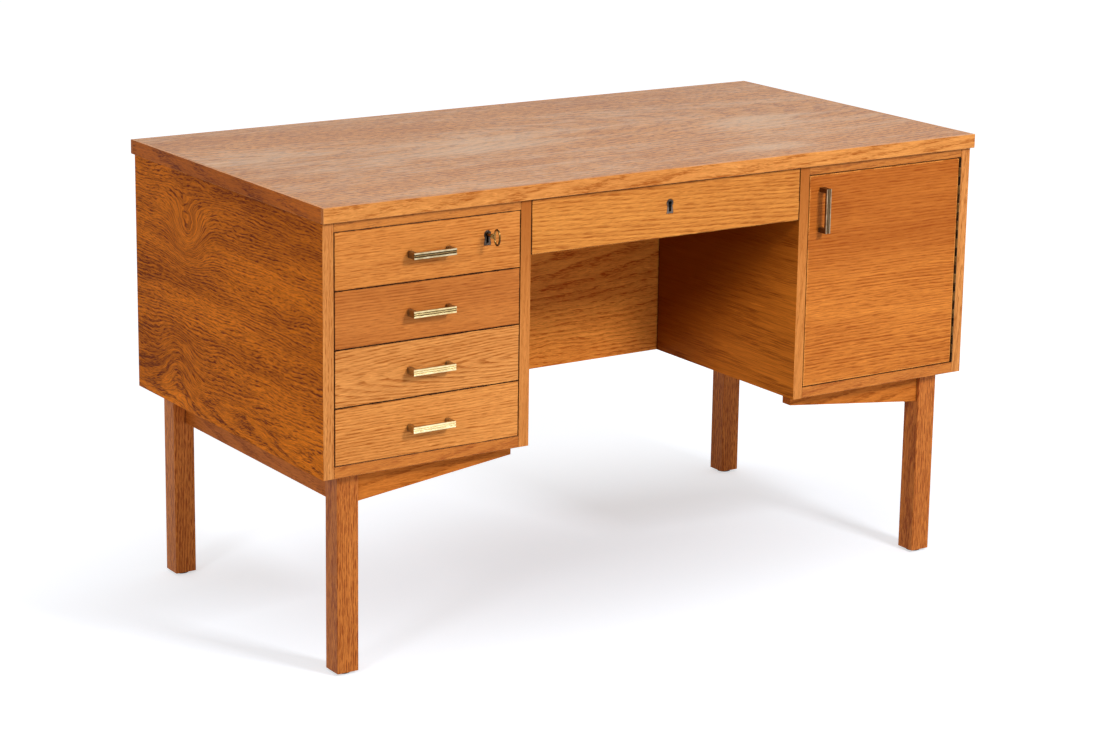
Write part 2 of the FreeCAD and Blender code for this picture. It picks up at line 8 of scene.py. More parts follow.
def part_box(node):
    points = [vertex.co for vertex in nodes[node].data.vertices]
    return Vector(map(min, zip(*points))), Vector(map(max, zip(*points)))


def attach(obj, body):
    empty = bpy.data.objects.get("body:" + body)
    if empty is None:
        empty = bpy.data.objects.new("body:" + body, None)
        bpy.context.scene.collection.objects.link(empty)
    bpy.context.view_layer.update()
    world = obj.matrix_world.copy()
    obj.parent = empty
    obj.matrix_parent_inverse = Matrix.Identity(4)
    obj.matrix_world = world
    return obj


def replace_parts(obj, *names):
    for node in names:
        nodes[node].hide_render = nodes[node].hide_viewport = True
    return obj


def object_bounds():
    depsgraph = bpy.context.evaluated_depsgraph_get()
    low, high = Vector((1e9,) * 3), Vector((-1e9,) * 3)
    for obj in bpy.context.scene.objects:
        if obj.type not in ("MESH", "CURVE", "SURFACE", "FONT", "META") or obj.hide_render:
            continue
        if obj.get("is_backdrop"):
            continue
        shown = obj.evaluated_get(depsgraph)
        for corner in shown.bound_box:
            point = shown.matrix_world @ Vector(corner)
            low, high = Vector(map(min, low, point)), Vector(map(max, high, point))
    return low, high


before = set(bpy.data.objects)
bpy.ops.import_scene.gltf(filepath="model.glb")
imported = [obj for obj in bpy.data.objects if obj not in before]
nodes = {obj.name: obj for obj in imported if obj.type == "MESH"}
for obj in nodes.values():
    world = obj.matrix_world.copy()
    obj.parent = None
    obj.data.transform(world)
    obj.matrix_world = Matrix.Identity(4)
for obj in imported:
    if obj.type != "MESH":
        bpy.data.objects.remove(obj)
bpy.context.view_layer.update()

# Legs
# Four square posts of solid oak, glued and screwed to the rails of the stand. The grain runs
# upright under a thin lacquer, and the long corners are eased and rubbed pale, partly a painted
# highlight. Three legs take a paler copy of the oak, painted light where the lamps reach them less
# than the front left one.
leg_tones = ((226, 136, 60), (152, 72, 24))
# A paler copy of the leg oak for the other three legs: painted light.
leg_tones_with_painted_light = ((234, 142, 64), (156, 76, 26))
leg_hearts = {"front_left": -0.02, "front_right": 0.11, "rear_left": 0.05, "rear_right": -0.09}
pore_brown = (86, 36, 4)
# The brown of the gaps: old polish, and painted shade where light hardly reaches.
gap_dirt_and_shade_brown = (44, 16, 10)
# Dark corners of the fronts, rails and floor boards: staining, and painted shade of the gaps beside them.
stained_and_shaded_arris = (52, 14, 8)
# How much paler the wood's corners are: wear, and partly a painted highlight.
oak_rub_and_highlight_lift = 22
oak_roughness = 0.32
sheen_roughness = 0.3
oak_relief = 0.35
pore_depth = 0.0003
rubbed_reach = 0.0012
stained_and_shaded_reach = 0.0026
gap_reach = 0.005
merge_distance = 0.000001
corner_easing = 0.0004
easing_angle = 35


def tone(colour):
    """A colour as a screen shows it, 0 to 255, in the scale that a shader works in."""
    shares = [value / 255 for value in colour]
    linear = [share / 12.92 if share < 0.04045 else ((share + 0.055) / 1.055) ** 2.4 for share in shares]
    return (*linear, 1.0)


def feed(tree, node, values):
    """Feeds sockets of a node, each by a link or a plain value. Returns its outputs."""
    for name, value in values.items():
        if isinstance(value, bpy.types.NodeSocket):
            tree.links.new(value, node.inputs[name])
        else:
            node.inputs[name].default_value = value
    return node.outputs


def add_node(tree, kind, values, **settings):
    node = tree.nodes.new("ShaderNode" + kind)
    for name, setting in settings.items():
        setattr(node, name, setting)
    return feed(tree, node, values)


def maths(tree, operation, *values):
    return add_node(tree, "Math", dict(enumerate(values)), operation=operation)[0]


def times(tree, first, second):
    return maths(tree, "MULTIPLY", first, second)


def add_share(tree, part, share, whole):
    """The whole and a share of the part."""
    return maths(tree, "MULTIPLY_ADD", part, share, whole)


def vector_maths(tree, operation, *values):
    result = "Value" if operation in ("DOT_PRODUCT", "LENGTH") else "Vector"
    return add_node(tree, "VectorMath", dict(enumerate(values)), operation=operation)[result]


def other_share(tree, share):
    """1 where the share is 0, and 0 where it is 1."""
    return maths(tree, "SUBTRACT", 1.0, share)


def split_axes(tree, vector):
    return add_node(tree, "SeparateXYZ", {0: vector})


def join_axes(tree, *parts):
    return add_node(tree, "CombineXYZ", dict(enumerate(parts)))[0]


def noise(tree, point, along, across=None, detail=2.0, roughness=0.5):
    """Smooth noise about 0.5, with so many cells to the metre along and across the grain."""
    cells = (along, across or along, across or along)
    scaled = vector_maths(tree, "MULTIPLY", point, cells)
    values = {"Vector": scaled, "Scale": 1.0, "Detail": detail, "Roughness": roughness}
    return add_node(tree, "TexNoise", values)[0]


def fade(tree, value, low, high):
    """0 up to low, 1 from high on, and smooth between them."""
    values = {"Value": value, "From Min": low, "From Max": high}
    return add_node(tree, "MapRange", values, interpolation_type="SMOOTHSTEP")[0]


def blend(tree, share, first, second):
    """The first colour or vector where share is 0, the second where it is 1."""
    return add_node(tree, "Mix", {0: share, 6: first, 7: second}, data_type="RGBA")[2]


def start_group(name, takes, gives):
    """Makes a node group. Returns it, its inner inputs and its output node."""
    group = bpy.data.node_groups.new(name, "ShaderNodeTree")
    for in_out, sockets in (("INPUT", takes), ("OUTPUT", gives)):
        for socket_name, kind in sockets.items():
            group.interface.new_socket(name=socket_name, in_out=in_out, socket_type="NodeSocket" + kind)
    return group, group.nodes.new("NodeGroupInput").outputs, group.nodes.new("NodeGroupOutput")


def place_group(tree, group, values):
    """Puts a group in a tree with its own values, and returns its outputs."""
    return add_node(tree, "Group", values, node_tree=group)


def build_oak_figure():
    """Oak as a saw shows it: rings round the heart of the log, streaks, patches, dashes and pores.

    The point runs along the grain, across the face and into the wood. The heart is the middle of
    the rings, and the waver and the swirl push the grain sideways.
    """
    numbers = (
        "Ring Width", "Heart Across", "Heart Depth", "Heart Slope", "Waver", "Swirl", "End Face",
        "Rings", "Streaks", "Patches", "Dashes",
    )
    colours = ("Pale", "Deep", "Pore")
    sockets = {"Point": "Vector", **dict.fromkeys(colours, "Color"), **dict.fromkeys(numbers, "Float")}
    results = {"Color": "Color", "Dullness": "Float", "Height": "Float"}
    tree, takes, gives = start_group("oak figure", sockets, results)
    quick_share = 0.3
    ring_wobble = 1.2
    early_end = 0.12
    late_start = 0.8
    patch_gain = 2.4
    coarse_share = 0.28
    fine_share = 0.6
    late_share = 0.5
    early_dash_gain = 0.7
    early_pore_gain = 0.5
    plain_depth = 0.3
    fleck_lift = -0.22
    end_face_depth = 0.5
    pore_share = 0.3
    pore_dullness = 0.2
    patch_dullness = 0.16
    streak_rise = 0.25
    dash_sink = 0.6
    point = takes["Point"]
    along, across, depth = split_axes(tree, point)
    slow = maths(tree, "SUBTRACT", noise(tree, point, along=1.9, across=8.0), 0.5)
    quick = noise(tree, point, along=11.0, across=34.0, detail=3.0, roughness=0.55)
    wander = add_share(tree, maths(tree, "SUBTRACT", quick, 0.5), quick_share, slow)
    lateral = add_share(tree, wander, takes["Waver"], across)
    lateral = maths(tree, "ADD", lateral, takes["Swirl"])
    flow = join_axes(tree, along, lateral, depth)
    off_heart = maths(tree, "SUBTRACT", lateral, takes["Heart Across"])
    under = add_share(tree, along, takes["Heart Slope"], takes["Heart Depth"])
    under = maths(tree, "ADD", under, depth)
    squares = add_share(tree, off_heart, off_heart, times(tree, under, under))
    turns = maths(tree, "DIVIDE", maths(tree, "SQRT", squares), takes["Ring Width"])
    turns = add_share(tree, noise(tree, flow, along=5.0, across=80.0), ring_wobble, turns)
    phase = maths(tree, "FRACT", turns)
    late = fade(tree, phase, early_end, late_start)
    early = times(tree, fade(tree, phase, 0.0, early_end), other_share(tree, late))
    strength = fade(tree, noise(tree, flow, along=4.0, across=26.0), low=0.34, high=0.62)
    patch = noise(tree, flow, along=2.2, across=15.0, detail=3.0)
    streak = noise(tree, flow, along=12.0, across=240.0, detail=3.0, roughness=0.65)
    streak = maths(tree, "SUBTRACT", streak, 0.5)
    fine = fade(tree, noise(tree, flow, along=70.0, across=820.0, detail=1.5), low=0.48, high=0.58)
    coarse = fade(tree, noise(tree, flow, along=46.0, across=470.0), low=0.53, high=0.62)
    dash = add_share(tree, coarse, coarse_share, times(tree, fine, fine_share))
    dash = times(tree, dash, add_share(tree, early, early_dash_gain, late_share))
    pores = fade(tree, noise(tree, flow, along=130.0, across=1500.0, detail=1.0), low=0.55, high=0.7)
    pores = times(tree, pores, add_share(tree, early, early_pore_gain, late_share))
    fleck = fade(tree, noise(tree, flow, along=70.0, across=300.0), low=0.62, high=0.76)
    patch_swing = times(tree, maths(tree, "SUBTRACT", patch, 0.5), patch_gain)
    tone_depth = plain_depth
    for effect, share in (
        (times(tree, early, strength), takes["Rings"]),
        (streak, takes["Streaks"]),
        (patch_swing, takes["Patches"]),
        (dash, takes["Dashes"]),
        (fleck, fleck_lift),
        (takes["End Face"], end_face_depth),
    ):
        tone_depth = add_share(tree, effect, share, tone_depth)
    depth_share = add_node(tree, "Clamp", {"Value": tone_depth})[0]
    wood = blend(tree, depth_share, takes["Pale"], takes["Deep"])
    wood = blend(tree, times(tree, pores, pore_share), wood, takes["Pore"])
    dullness = add_share(tree, pores, pore_dullness, times(tree, patch, patch_dullness))
    sunk = add_share(tree, dash, dash_sink, pores)
    height = maths(tree, "SUBTRACT", times(tree, streak, streak_rise), sunk)
    feed(tree, gives, {"Color": wood, "Dullness": dullness, "Height": height})
    return tree


def build_edge_wear_and_light():
    """Colours the sharp corners of a piece in broken lengths: wear, and on wood partly painted light."""
    sockets = {"Point": "Vector", "Color": "Color", "Edge Colour": "Color", "Reach": "Float", "Amount": "Float"}
    tree, takes, gives = start_group("edge wear and light", sockets, {"Color": "Color"})
    rounded = add_node(tree, "Bevel", {"Radius": takes["Reach"]}, samples=4)[0]
    flat = add_node(tree, "NewGeometry", {})["Normal"]
    likeness = vector_maths(tree, "DOT_PRODUCT", rounded, flat)
    edge = fade(tree, other_share(tree, likeness), low=0.02, high=0.24)
    broken = fade(tree, noise(tree, takes["Point"], along=60.0, detail=3.0), low=0.34, high=0.6)
    edge_wear_and_light_amount = times(tree, times(tree, edge, broken), takes["Amount"])
    feed(tree, gives, {"Color": blend(tree, edge_wear_and_light_amount, takes["Color"], takes["Edge Colour"])})
    return tree


def build_gap_dirt_and_shade():
    """Darkens where two pieces all but touch: dark polish and dust, and painted shade in the gap."""
    sockets = {"Color": "Color", "Dirt And Shade": "Color", "Reach": "Float", "Amount": "Float"}
    tree, takes, gives = start_group("gap dirt and painted shade", sockets, {"Color": "Color"})
    openness = add_node(tree, "AmbientOcclusion", {"Distance": takes["Reach"]}, samples=4)["AO"]
    shut = other_share(tree, fade(tree, openness, low=0.3, high=0.9))
    amount = times(tree, shut, takes["Amount"])
    feed(tree, gives, {"Color": blend(tree, amount, takes["Color"], takes["Dirt And Shade"])})
    return tree


oak_figure = build_oak_figure()
edge_wear_and_light = build_edge_wear_and_light()
gap_dirt_and_shade = build_gap_dirt_and_shade()
plain_figure = {
    "Ring Width": 0.0045, "Heart Across": -0.12, "Heart Depth": 0.06, "Heart Slope": 0.04,
    "Waver": 0.02, "Swirl": 0.0, "Pore": tone(pore_brown), "Rings": 0.25, "Streaks": 0.7,
    "Patches": 0.3, "Dashes": 0.6,
}


def start_material(name, metallic=0.0, specular=0.5, sheen=0.0):
    """A material with its Principled shader; returns it, its tree and that shader."""
    material = bpy.data.materials.new(name)
    material.use_nodes = True
    tree = material.node_tree
    shader = tree.nodes["Principled BSDF"]
    values = {"Metallic": metallic, "Specular IOR Level": specular}
    feed(tree, shader, {**values, "Sheen Weight": sheen, "Sheen Roughness": sheen_roughness})
    return material, tree, shader


def feed_shader(tree, shader, colour, roughness, height, relief, depth):
    """Gives a shader its colour, its gloss and the bumps of its surface."""
    bump = add_node(tree, "Bump", {"Strength": relief, "Distance": depth, "Height": height})[0]
    feed(tree, shader, {"Base Color": colour, "Roughness": roughness, "Normal": bump})


def surface(tree):
    """The place on the desk, and the parts of the direction that the surface faces."""
    coordinates = add_node(tree, "TexCoord", {})
    return coordinates["Object"], split_axes(tree, coordinates["Normal"])


def squarely(tree, part, low=0.6, high=0.9):
    """1 where this part of the facing is large, either way, and 0 where it is small."""
    return fade(tree, maths(tree, "ABSOLUTE", part), low, high)


def board_point(tree, place, order):
    """The place on the desk, in the order along the grain, across the face, into the wood."""
    parts = split_axes(tree, place)
    return join_axes(tree, *(parts[axis] for axis in order))


def wear(tree, place, colour, rubbed, reach, edge_wear_and_light_amount, dirt=0.0):
    """Colours worn corners, on wood partly painted light, and given dirt, old polish and painted shade in
    gaps.
    """
    values = {"Point": place, "Color": colour, "Edge Colour": tone(rubbed), "Reach": reach, "Amount": edge_wear_and_light_amount}
    colour = place_group(tree, edge_wear_and_light, values)["Color"]
    # Old polish and painted shade darken the gaps.
    if dirt:
        values = {"Color": colour, "Dirt And Shade": tone(gap_dirt_and_shade_brown), "Reach": gap_reach, "Amount": dirt}
        colour = place_group(tree, gap_dirt_and_shade, values)["Color"]
    return colour


def oak(
    name, order, tones, figure, strip=None, swirls=None, edge=None, shade=None,
    stretch=1.0, specular=0.15, reach=rubbed_reach, edge_wear_and_light_amount=0.5, dirt=0.9, stain_and_shade=0.0,
):
    """An oak finish in a pale and a deep tone, its grain in the order of board_point.

    Faces that look to the front may carry a strip with its own order, tones and waver. Edge is a
    dark colour on the narrow sides, painted shade of the gaps, and a given staining darkens the
    corners of a front, as stained wood and painted shade. Shade deepens a board towards a
    direction: painted shade on the left side, the kneehole walls and the modesty panel, and a
    darker top on the door. Stretch draws the figure out.
    """
    material, tree, shader = start_material(name, specular=specular)
    place, facing = surface(tree)
    point = vector_maths(tree, "MULTIPLY", board_point(tree, place, order), (1.0 / stretch, 1.0, 1.0))
    end_face = squarely(tree, facing[order[0]])
    forward = squarely(tree, facing["Y"], low=0.3, high=0.6)
    pale, deep = map(tone, tones)
    values = {**plain_figure, **figure}
    if strip:
        strip_order, strip_tones, strip_waver = strip
        strip_pale, strip_deep = map(tone, strip_tones)
        point = blend(tree, forward, point, board_point(tree, place, strip_order))
        end_face = times(tree, end_face, other_share(tree, forward))
        pale = blend(tree, forward, pale, strip_pale)
        deep = blend(tree, forward, deep, strip_deep)
        waver = values["Waver"]
        values["Waver"] = add_share(tree, forward, strip_waver - waver, waver)
    if swirls:
        values["Swirl"] = add_spots(tree, point, swirls)
    values.update({"Point": point, "End Face": end_face, "Pale": pale, "Deep": deep})
    wood = place_group(tree, oak_figure, values)
    colour = wood["Color"]
    # Shade: the colour deepens along a direction; painted shade, and on the door a darker top.
    if shade:
        direction, start, end, share = shade
        shaded = fade(tree, vector_maths(tree, "DOT_PRODUCT", place, direction), start, end)
        colour = blend(tree, times(tree, shaded, share), colour, deep)
    # Pale corners on the wood: wear, and partly a painted highlight.
    rubbed = [min(255, value + oak_rub_and_highlight_lift) for value in tones[0]]
    # Edge: a dark colour on the narrow sides, painted shade of the gaps.
    if edge:
        colour = blend(tree, forward, tone(edge), colour)
    # Dark corners of a front: staining, and painted shade of the gaps beside it.
    if stain_and_shade:
        rubbed = stained_and_shaded_arris
        reach = stained_and_shaded_reach
        edge_wear_and_light_amount = times(tree, forward, stain_and_shade)
    # The gaps darken with old polish and painted shade.
    colour = wear(tree, place, colour, rubbed, reach, edge_wear_and_light_amount, dirt)
    roughness = maths(tree, "ADD", wood["Dullness"], oak_roughness)
    feed_shader(tree, shader, colour, roughness, wood["Height"], oak_relief, pore_depth)
    return material


def finish(node, material, easing=corner_easing):
    """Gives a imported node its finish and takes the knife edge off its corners."""
    piece = nodes[node]
    piece.data.materials.clear()
    piece.data.materials.append(material)
    if easing:
        weld = piece.modifiers.new("weld", "WELD")
        weld.merge_threshold = merge_distance
        bevel = piece.modifiers.new("easing", "BEVEL")
        bevel.width = easing
        bevel.segments = 2
        bevel.limit_method = "ANGLE"
        bevel.angle_limit = math.radians(easing_angle)


leg_figure = {"Heart Depth": 0.3, "Ring Width": 0.0038, "Waver": 0.012, "Dashes": 1.1}
for corner, heart in leg_hearts.items():
    tones = leg_tones if corner == "front_left" else leg_tones_with_painted_light
    leg_oak = oak("leg oak " + corner, "ZXY", tones, {**leg_figure, "Heart Across": heart}, specular=0.1)
    finish("leg_" + corner, leg_oak)

# Side rails and tapered rails
# Solid oak between and beside the legs: a level rail on each side, and four brackets that
# taper away from the legs under the pedestals. Glued to the legs, screwed up into the boards.
side_rail_tones = ((222, 126, 50), (148, 72, 20))
side_rail_figure = {"Heart Across": 0.2, "Waver": 0.01}
side_rail_oak = oak("side rail oak", "YZX", side_rail_tones, side_rail_figure, specular=0.04)
for side in ("left", "right"):
    finish("side_rail_" + side, side_rail_oak)
taper_tones = ((232, 138, 56), (166, 84, 22))
taper_figure = {"Heart Across": 0.24, "Waver": 0.014}
taper_oak = oak("tapered rail oak", "XZY", taper_tones, taper_figure, specular=0.04)
for corner in leg_hearts:
    finish("tapered_rail_" + corner, taper_oak)

# Glides
# Dark plastic discs, one nailed under each leg to spare the floor, scuffed grey at the rim by
# years of being pushed about.
glide_tones = ((22, 14, 10), (48, 38, 30))
plastic_easing = 0.0006
scuff_reach = 0.0008
scuff_depth = 0.0002
scuff_dullness = 0.3


def plastic(name, tones, roughness):
    """A plain plastic, scuffed in clouds and along its corners."""
    material, tree, shader = start_material(name)
    place = surface(tree)[0]
    clouds = noise(tree, place, along=120.0, detail=4.0)
    colour = blend(tree, fade(tree, clouds, low=0.4, high=0.7), *map(tone, tones))
    colour = wear(tree, place, colour, tones[1], scuff_reach, edge_wear_and_light_amount=0.7)
    gloss = add_share(tree, clouds, scuff_dullness, roughness)
    feed_shader(tree, shader, colour, gloss, clouds, relief=0.2, depth=scuff_depth)
    return material


finish("glides", plastic("glide plastic", glide_tones, roughness=0.45), plastic_easing)

# Side boards
# The four upright boards of the pedestals: chipboard with a lively oak veneer whose grain runs
# from front to back, and a paler strip with upright grain glued on the front edge. The outer
# left board has two swirls near its back edge.
side_tones = ((254, 138, 25), (112, 43, 0))
inner_tones = ((255, 148, 46), (110, 38, 0))
outer_strip = ("ZXY", ((246, 167, 92), (184, 107, 50)), 0.012)
inner_strip = ("ZXY", ((236, 154, 80), (176, 98, 40)), 0.012)
# Painted shade: the outer left board darkens towards its top and front, and the kneehole walls darken
# upward and backward, a painted shadow of the middle drawer from the left lamp.
left_painted_shade = ((0.0, -0.35, 1.0), 0.4, 0.9, 0.4)
knee_painted_shadow = ((0.0, 0.87, 1.0), 0.2, 0.46, 0.9)
side_figure = {
    "Heart Across": 0.34, "Heart Depth": 0.66, "Heart Slope": 0.05, "Ring Width": 0.005,
    "Waver": 0.055, "Rings": 0.28, "Patches": 0.42, "Streaks": 0.85, "Dashes": 0.78,
}
calm_figure = {
    **side_figure, "Heart Depth": 0.9, "Waver": 0.012, "Rings": 0.1, "Patches": 0.12,
    "Streaks": 0.65, "Dashes": 0.4,
}
swirl_spots = (
    ((0.136, 0.6), (20.0, 22.0), 0.056),
    ((0.176, 0.39), (20.0, 19.0), -0.036),
)


def build_grain_eye():
    """A soft hill round one spot of a board, as where the blade met the start of a branch."""
    sockets = {"Point": "Vector", "Eye": "Vector", "Stretch": "Vector", "Push": "Float"}
    tree, takes, gives = start_group("grain eye", sockets, {"Swirl": "Float"})
    away = vector_maths(tree, "SUBTRACT", takes["Point"], takes["Eye"])
    reach = vector_maths(tree, "LENGTH", vector_maths(tree, "MULTIPLY", away, takes["Stretch"]))
    hill = maths(tree, "EXPONENT", times(tree, times(tree, reach, reach), -1.0))
    feed(tree, gives, {"Swirl": times(tree, hill, takes["Push"])})
    return tree


grain_eye = build_grain_eye()


def add_spots(tree, point, spots):
    """The hills of several spots together. A spot has its place, its stretch and its push."""
    total = 0.0
    for eye, stretch, push in spots:
        values = {"Point": point, "Eye": (*eye, 0.0), "Stretch": (*stretch, 0.0), "Push": push}
        total = maths(tree, "ADD", place_group(tree, grain_eye, values)["Swirl"], total)
    return total


outer_wear = {"strip": outer_strip, "specular": 0.02}
inner_finish_with_shadow = {"strip": inner_strip, "specular": 0.02, "shade": knee_painted_shadow, "stretch": 3.5}
for side, tones, figure, own_finish in (
    ("left_outer", side_tones, {}, {**outer_wear, "swirls": swirl_spots, "shade": left_painted_shade}),
    ("left_inner", inner_tones, {**calm_figure, "Heart Across": 0.58}, inner_finish_with_shadow),
    ("right_inner", inner_tones, {**calm_figure, "Heart Across": 0.45}, inner_finish_with_shadow),
    ("right_outer", side_tones, {"Heart Across": 0.27, "Heart Depth": -0.56}, outer_wear),
):
    side_oak = oak("side oak " + side, "YZX", tones, {**side_figure, **figure}, **own_finish)
    finish("side_" + side, side_oak)

# Floor boards and front rails
# Veneered boards between the sides, with the grain across the desk: the pedestal floors, and
# the rails above the drawers and the door, dowelled flush with the front edges.
floor_board_tones = ((228, 141, 60), (168, 84, 24))
floor_board_figure = {"Heart Across": 0.29, "Waver": 0.014}
front_rail_tones = ((222, 140, 62), (158, 84, 26))
front_rail_figure = {"Heart Across": 0.6, "Waver": 0.014}
# Their front corners darken: staining, and painted shade of the gaps beside them.
across_oak = oak("floor board oak", "XZY", floor_board_tones, floor_board_figure, stain_and_shade=1.6)
for side in ("left", "right"):
    finish("floor_board_" + side, across_oak)
finish("front_rails", oak("front rail oak", "XZY", front_rail_tones, front_rail_figure, stain_and_shade=1.6))

# Backs, modesty panel and niche floor
# Thin veneered boards let in between the sides. The modesty panel closes the kneehole well
# behind the front, and the niche floor behind it lies level with the pedestal floors.
# The modesty panel's deep tone is also the colour of its painted shadow.
modesty_tones = ((255, 162, 68), (178, 74, 6))
back_tones = ((255, 156, 60), (188, 92, 18))
panel_figure = {
    "Heart Across": 0.52, "Heart Depth": 0.09, "Ring Width": 0.006, "Waver": 0.05, "Patches": 0.4,
}
# The modesty panel darkens towards its top: a painted shadow under the top and the drawers.
modesty_finish_with_shadow = {"shade": ((0.0, 0.0, 1.0), 0.48, 0.65, 0.95), "specular": 0.05}
finish("modesty_panel", oak("modesty panel oak", "XZY", modesty_tones, panel_figure, **modesty_finish_with_shadow))
back_oak = oak("back panel oak", "XZY", back_tones, panel_figure, specular=0.05)
for board in ("niche_board", "back_panel_left", "back_panel_right"):
    finish(board, back_oak)

# Top
# A veneered board with the grain along the desk, let in between solid oak lippings. Years of
# writing have left dull patches in the lacquer; their pale colour is partly a painted sheen of
# light glancing off them.
top_tones = ((235, 160, 78), (160, 84, 10))
# The pale colour of the worn patches, partly a painted sheen.
top_haze_and_sheen = (240, 212, 182)
top_roughness = 0.46
top_relief = 0.3
top_stretch = (1.2, 0.4, 0.4)
top_haze_and_sheen_share = 0.48
lacquer_sheen = 0.23
top_figure = {
    "Heart Across": 0.03, "Heart Depth": -0.22, "Heart Slope": 0.05, "Ring Width": 0.004,
    "Waver": 0.012, "Rings": 0.18, "Patches": 0.2, "Streaks": 0.6, "Dashes": 1.15,
}
worn_dullness = 0.18
worn_and_sheen_spots = (
    ((0.37, -0.03), (9.0, 17.0), 0.34),
    ((0.25, -0.23), (12.0, 34.0), 0.34),
    ((-0.17, 0.01), (5.0, 13.0), 0.2),
    ((-0.54, 0.07), (6.0, 17.0), 0.26),
    ((-0.2, -0.23), (3.5, 14.0), 0.09),
)


def build_worn_lacquer_and_sheen():
    """Cloudy lacquer wear along the grain: a duller gloss, and a paler colour that is partly painted
    sheen.
    """
    sockets = {"Point": "Vector", "Color": "Color", "Haze And Sheen": "Color", "Spots": "Float", "Amount": "Float"}
    tree, takes, gives = start_group("worn lacquer and painted sheen", sockets, {"Color": "Color", "Wear": "Float"})
    fine_share = 0.9
    point = takes["Point"]
    broad = noise(tree, point, along=1.8, across=11.0, detail=4.0, roughness=0.65)
    fine = noise(tree, point, along=18.0, across=150.0, detail=3.0, roughness=0.65)
    cloud = maths(tree, "ADD", add_share(tree, fine, fine_share, broad), takes["Spots"])
    haze = times(tree, fade(tree, cloud, low=0.85, high=1.3), takes["Amount"])
    feed(tree, gives, {"Color": blend(tree, haze, takes["Color"], takes["Haze And Sheen"]), "Wear": haze})
    return tree


worn_lacquer_and_sheen = build_worn_lacquer_and_sheen()


def haze_and_sheen_over(tree, colour, point, spots, upward, share):
    """Puts the cloudy lacquer wear, its pale colour partly a painted sheen, on the faces that look up."""
    amount = times(tree, fade(tree, upward, low=0.6, high=0.9), share)
    values = {"Point": point, "Color": colour, "Haze And Sheen": tone(top_haze_and_sheen), "Spots": spots, "Amount": amount}
    return place_group(tree, worn_lacquer_and_sheen, values)


def top_finish():
    material, tree, shader = start_material("top oak", sheen=lacquer_sheen)
    place, facing = surface(tree)
    point = board_point(tree, place, "XYZ")
    pale, deep = map(tone, top_tones)
    values = {**plain_figure, **top_figure, "Pale": pale, "Deep": deep}
    values["Point"] = vector_maths(tree, "MULTIPLY", point, top_stretch)
    wood = place_group(tree, oak_figure, values)
    spots = add_spots(tree, point, worn_and_sheen_spots)
    hazy = haze_and_sheen_over(tree, wood["Color"], point, spots, facing["Z"], top_haze_and_sheen_share)
    dull = add_share(tree, hazy["Wear"], worn_dullness, wood["Dullness"])
    roughness = maths(tree, "ADD", dull, top_roughness)
    feed_shader(tree, shader, hazy["Color"], roughness, wood["Height"], top_relief, pore_depth)
    return material


finish("top_panel", top_finish())

# Lippings of the top
# Solid oak strips, flush above and below: long ones at the front and back, which run through
# to the corners and show their end grain there, and short ones let in between them.
lipping_tones = ((246, 167, 88), (176, 96, 36))
lipping_side = (214, 112, 20)
# The pale corners of the lippings: wear, and partly a painted highlight.
lipping_rub_and_highlight = (242, 178, 110)
lipping_reach = 0.0016
lipping_roughness = 0.3
lipping_haze_and_sheen_share = 0.35
lipping_spots = 0.1
lipping_figure = {
    "Heart Across": 0.66, "Heart Depth": 0.05, "Heart Slope": 0.03, "Ring Width": 0.004,
    "Waver": 0.03, "Patches": 0.35,
}


def lipping_finish():
    """The grain turns with the strip: along the desk, or from front to back on the short ones."""
    material, tree, shader = start_material("lipping oak", specular=0.03, sheen=lacquer_sheen)
    place, facing = surface(tree)
    parts = split_axes(tree, place)
    panel_low, panel_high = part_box("top_panel")
    beyond_side = maths(tree, "GREATER_THAN", maths(tree, "ABSOLUTE", parts["X"]), panel_high.x)
    behind_front = maths(tree, "GREATER_THAN", parts["Y"], panel_low.y)
    before_back = maths(tree, "LESS_THAN", parts["Y"], panel_high.y)
    short = times(tree, beyond_side, times(tree, behind_front, before_back))
    point = blend(tree, short, board_point(tree, place, "XZY"), board_point(tree, place, "YZX"))
    sideways = squarely(tree, facing["X"])
    outward = times(tree, short, sideways)
    values = {**plain_figure, **lipping_figure, "Point": point}
    values["End Face"] = times(tree, sideways, other_share(tree, short))
    values["Pale"] = blend(tree, outward, tone(lipping_tones[0]), tone(lipping_side))
    values["Deep"] = blend(tree, outward, tone(lipping_tones[1]), tone(side_tones[1]))
    wood = place_group(tree, oak_figure, values)
    # The lipping's top takes pale patches, partly a painted sheen; its corners are rubbed pale, partly a
    # painted highlight, and its gaps darken with old polish and painted shade.
    hazy = haze_and_sheen_over(tree, wood["Color"], point, lipping_spots, facing["Z"], lipping_haze_and_sheen_share)
    colour = wear(tree, place, hazy["Color"], lipping_rub_and_highlight, lipping_reach, edge_wear_and_light_amount=0.6, dirt=0.9)
    roughness = maths(tree, "ADD", wood["Dullness"], lipping_roughness)
    feed_shader(tree, shader, colour, roughness, wood["Height"], top_relief, pore_depth)
    return material


finish("top_lippings", lipping_finish(), easing=0)

# Drawer runners
# Hard beech strips screwed to the insides of the pedestal and of the kneehole, waxed pale by
# the drawer sides that slide on them.
runner_tones = ((226, 190, 140), (186, 140, 92))
beech_figure = {"Ring Width": 0.003, "Rings": 0.15, "Streaks": 0.6, "Patches": 0.2, "Dashes": 0.25}
finish("drawer_runners", oak("runner beech", "YZX", runner_tones, beech_figure))

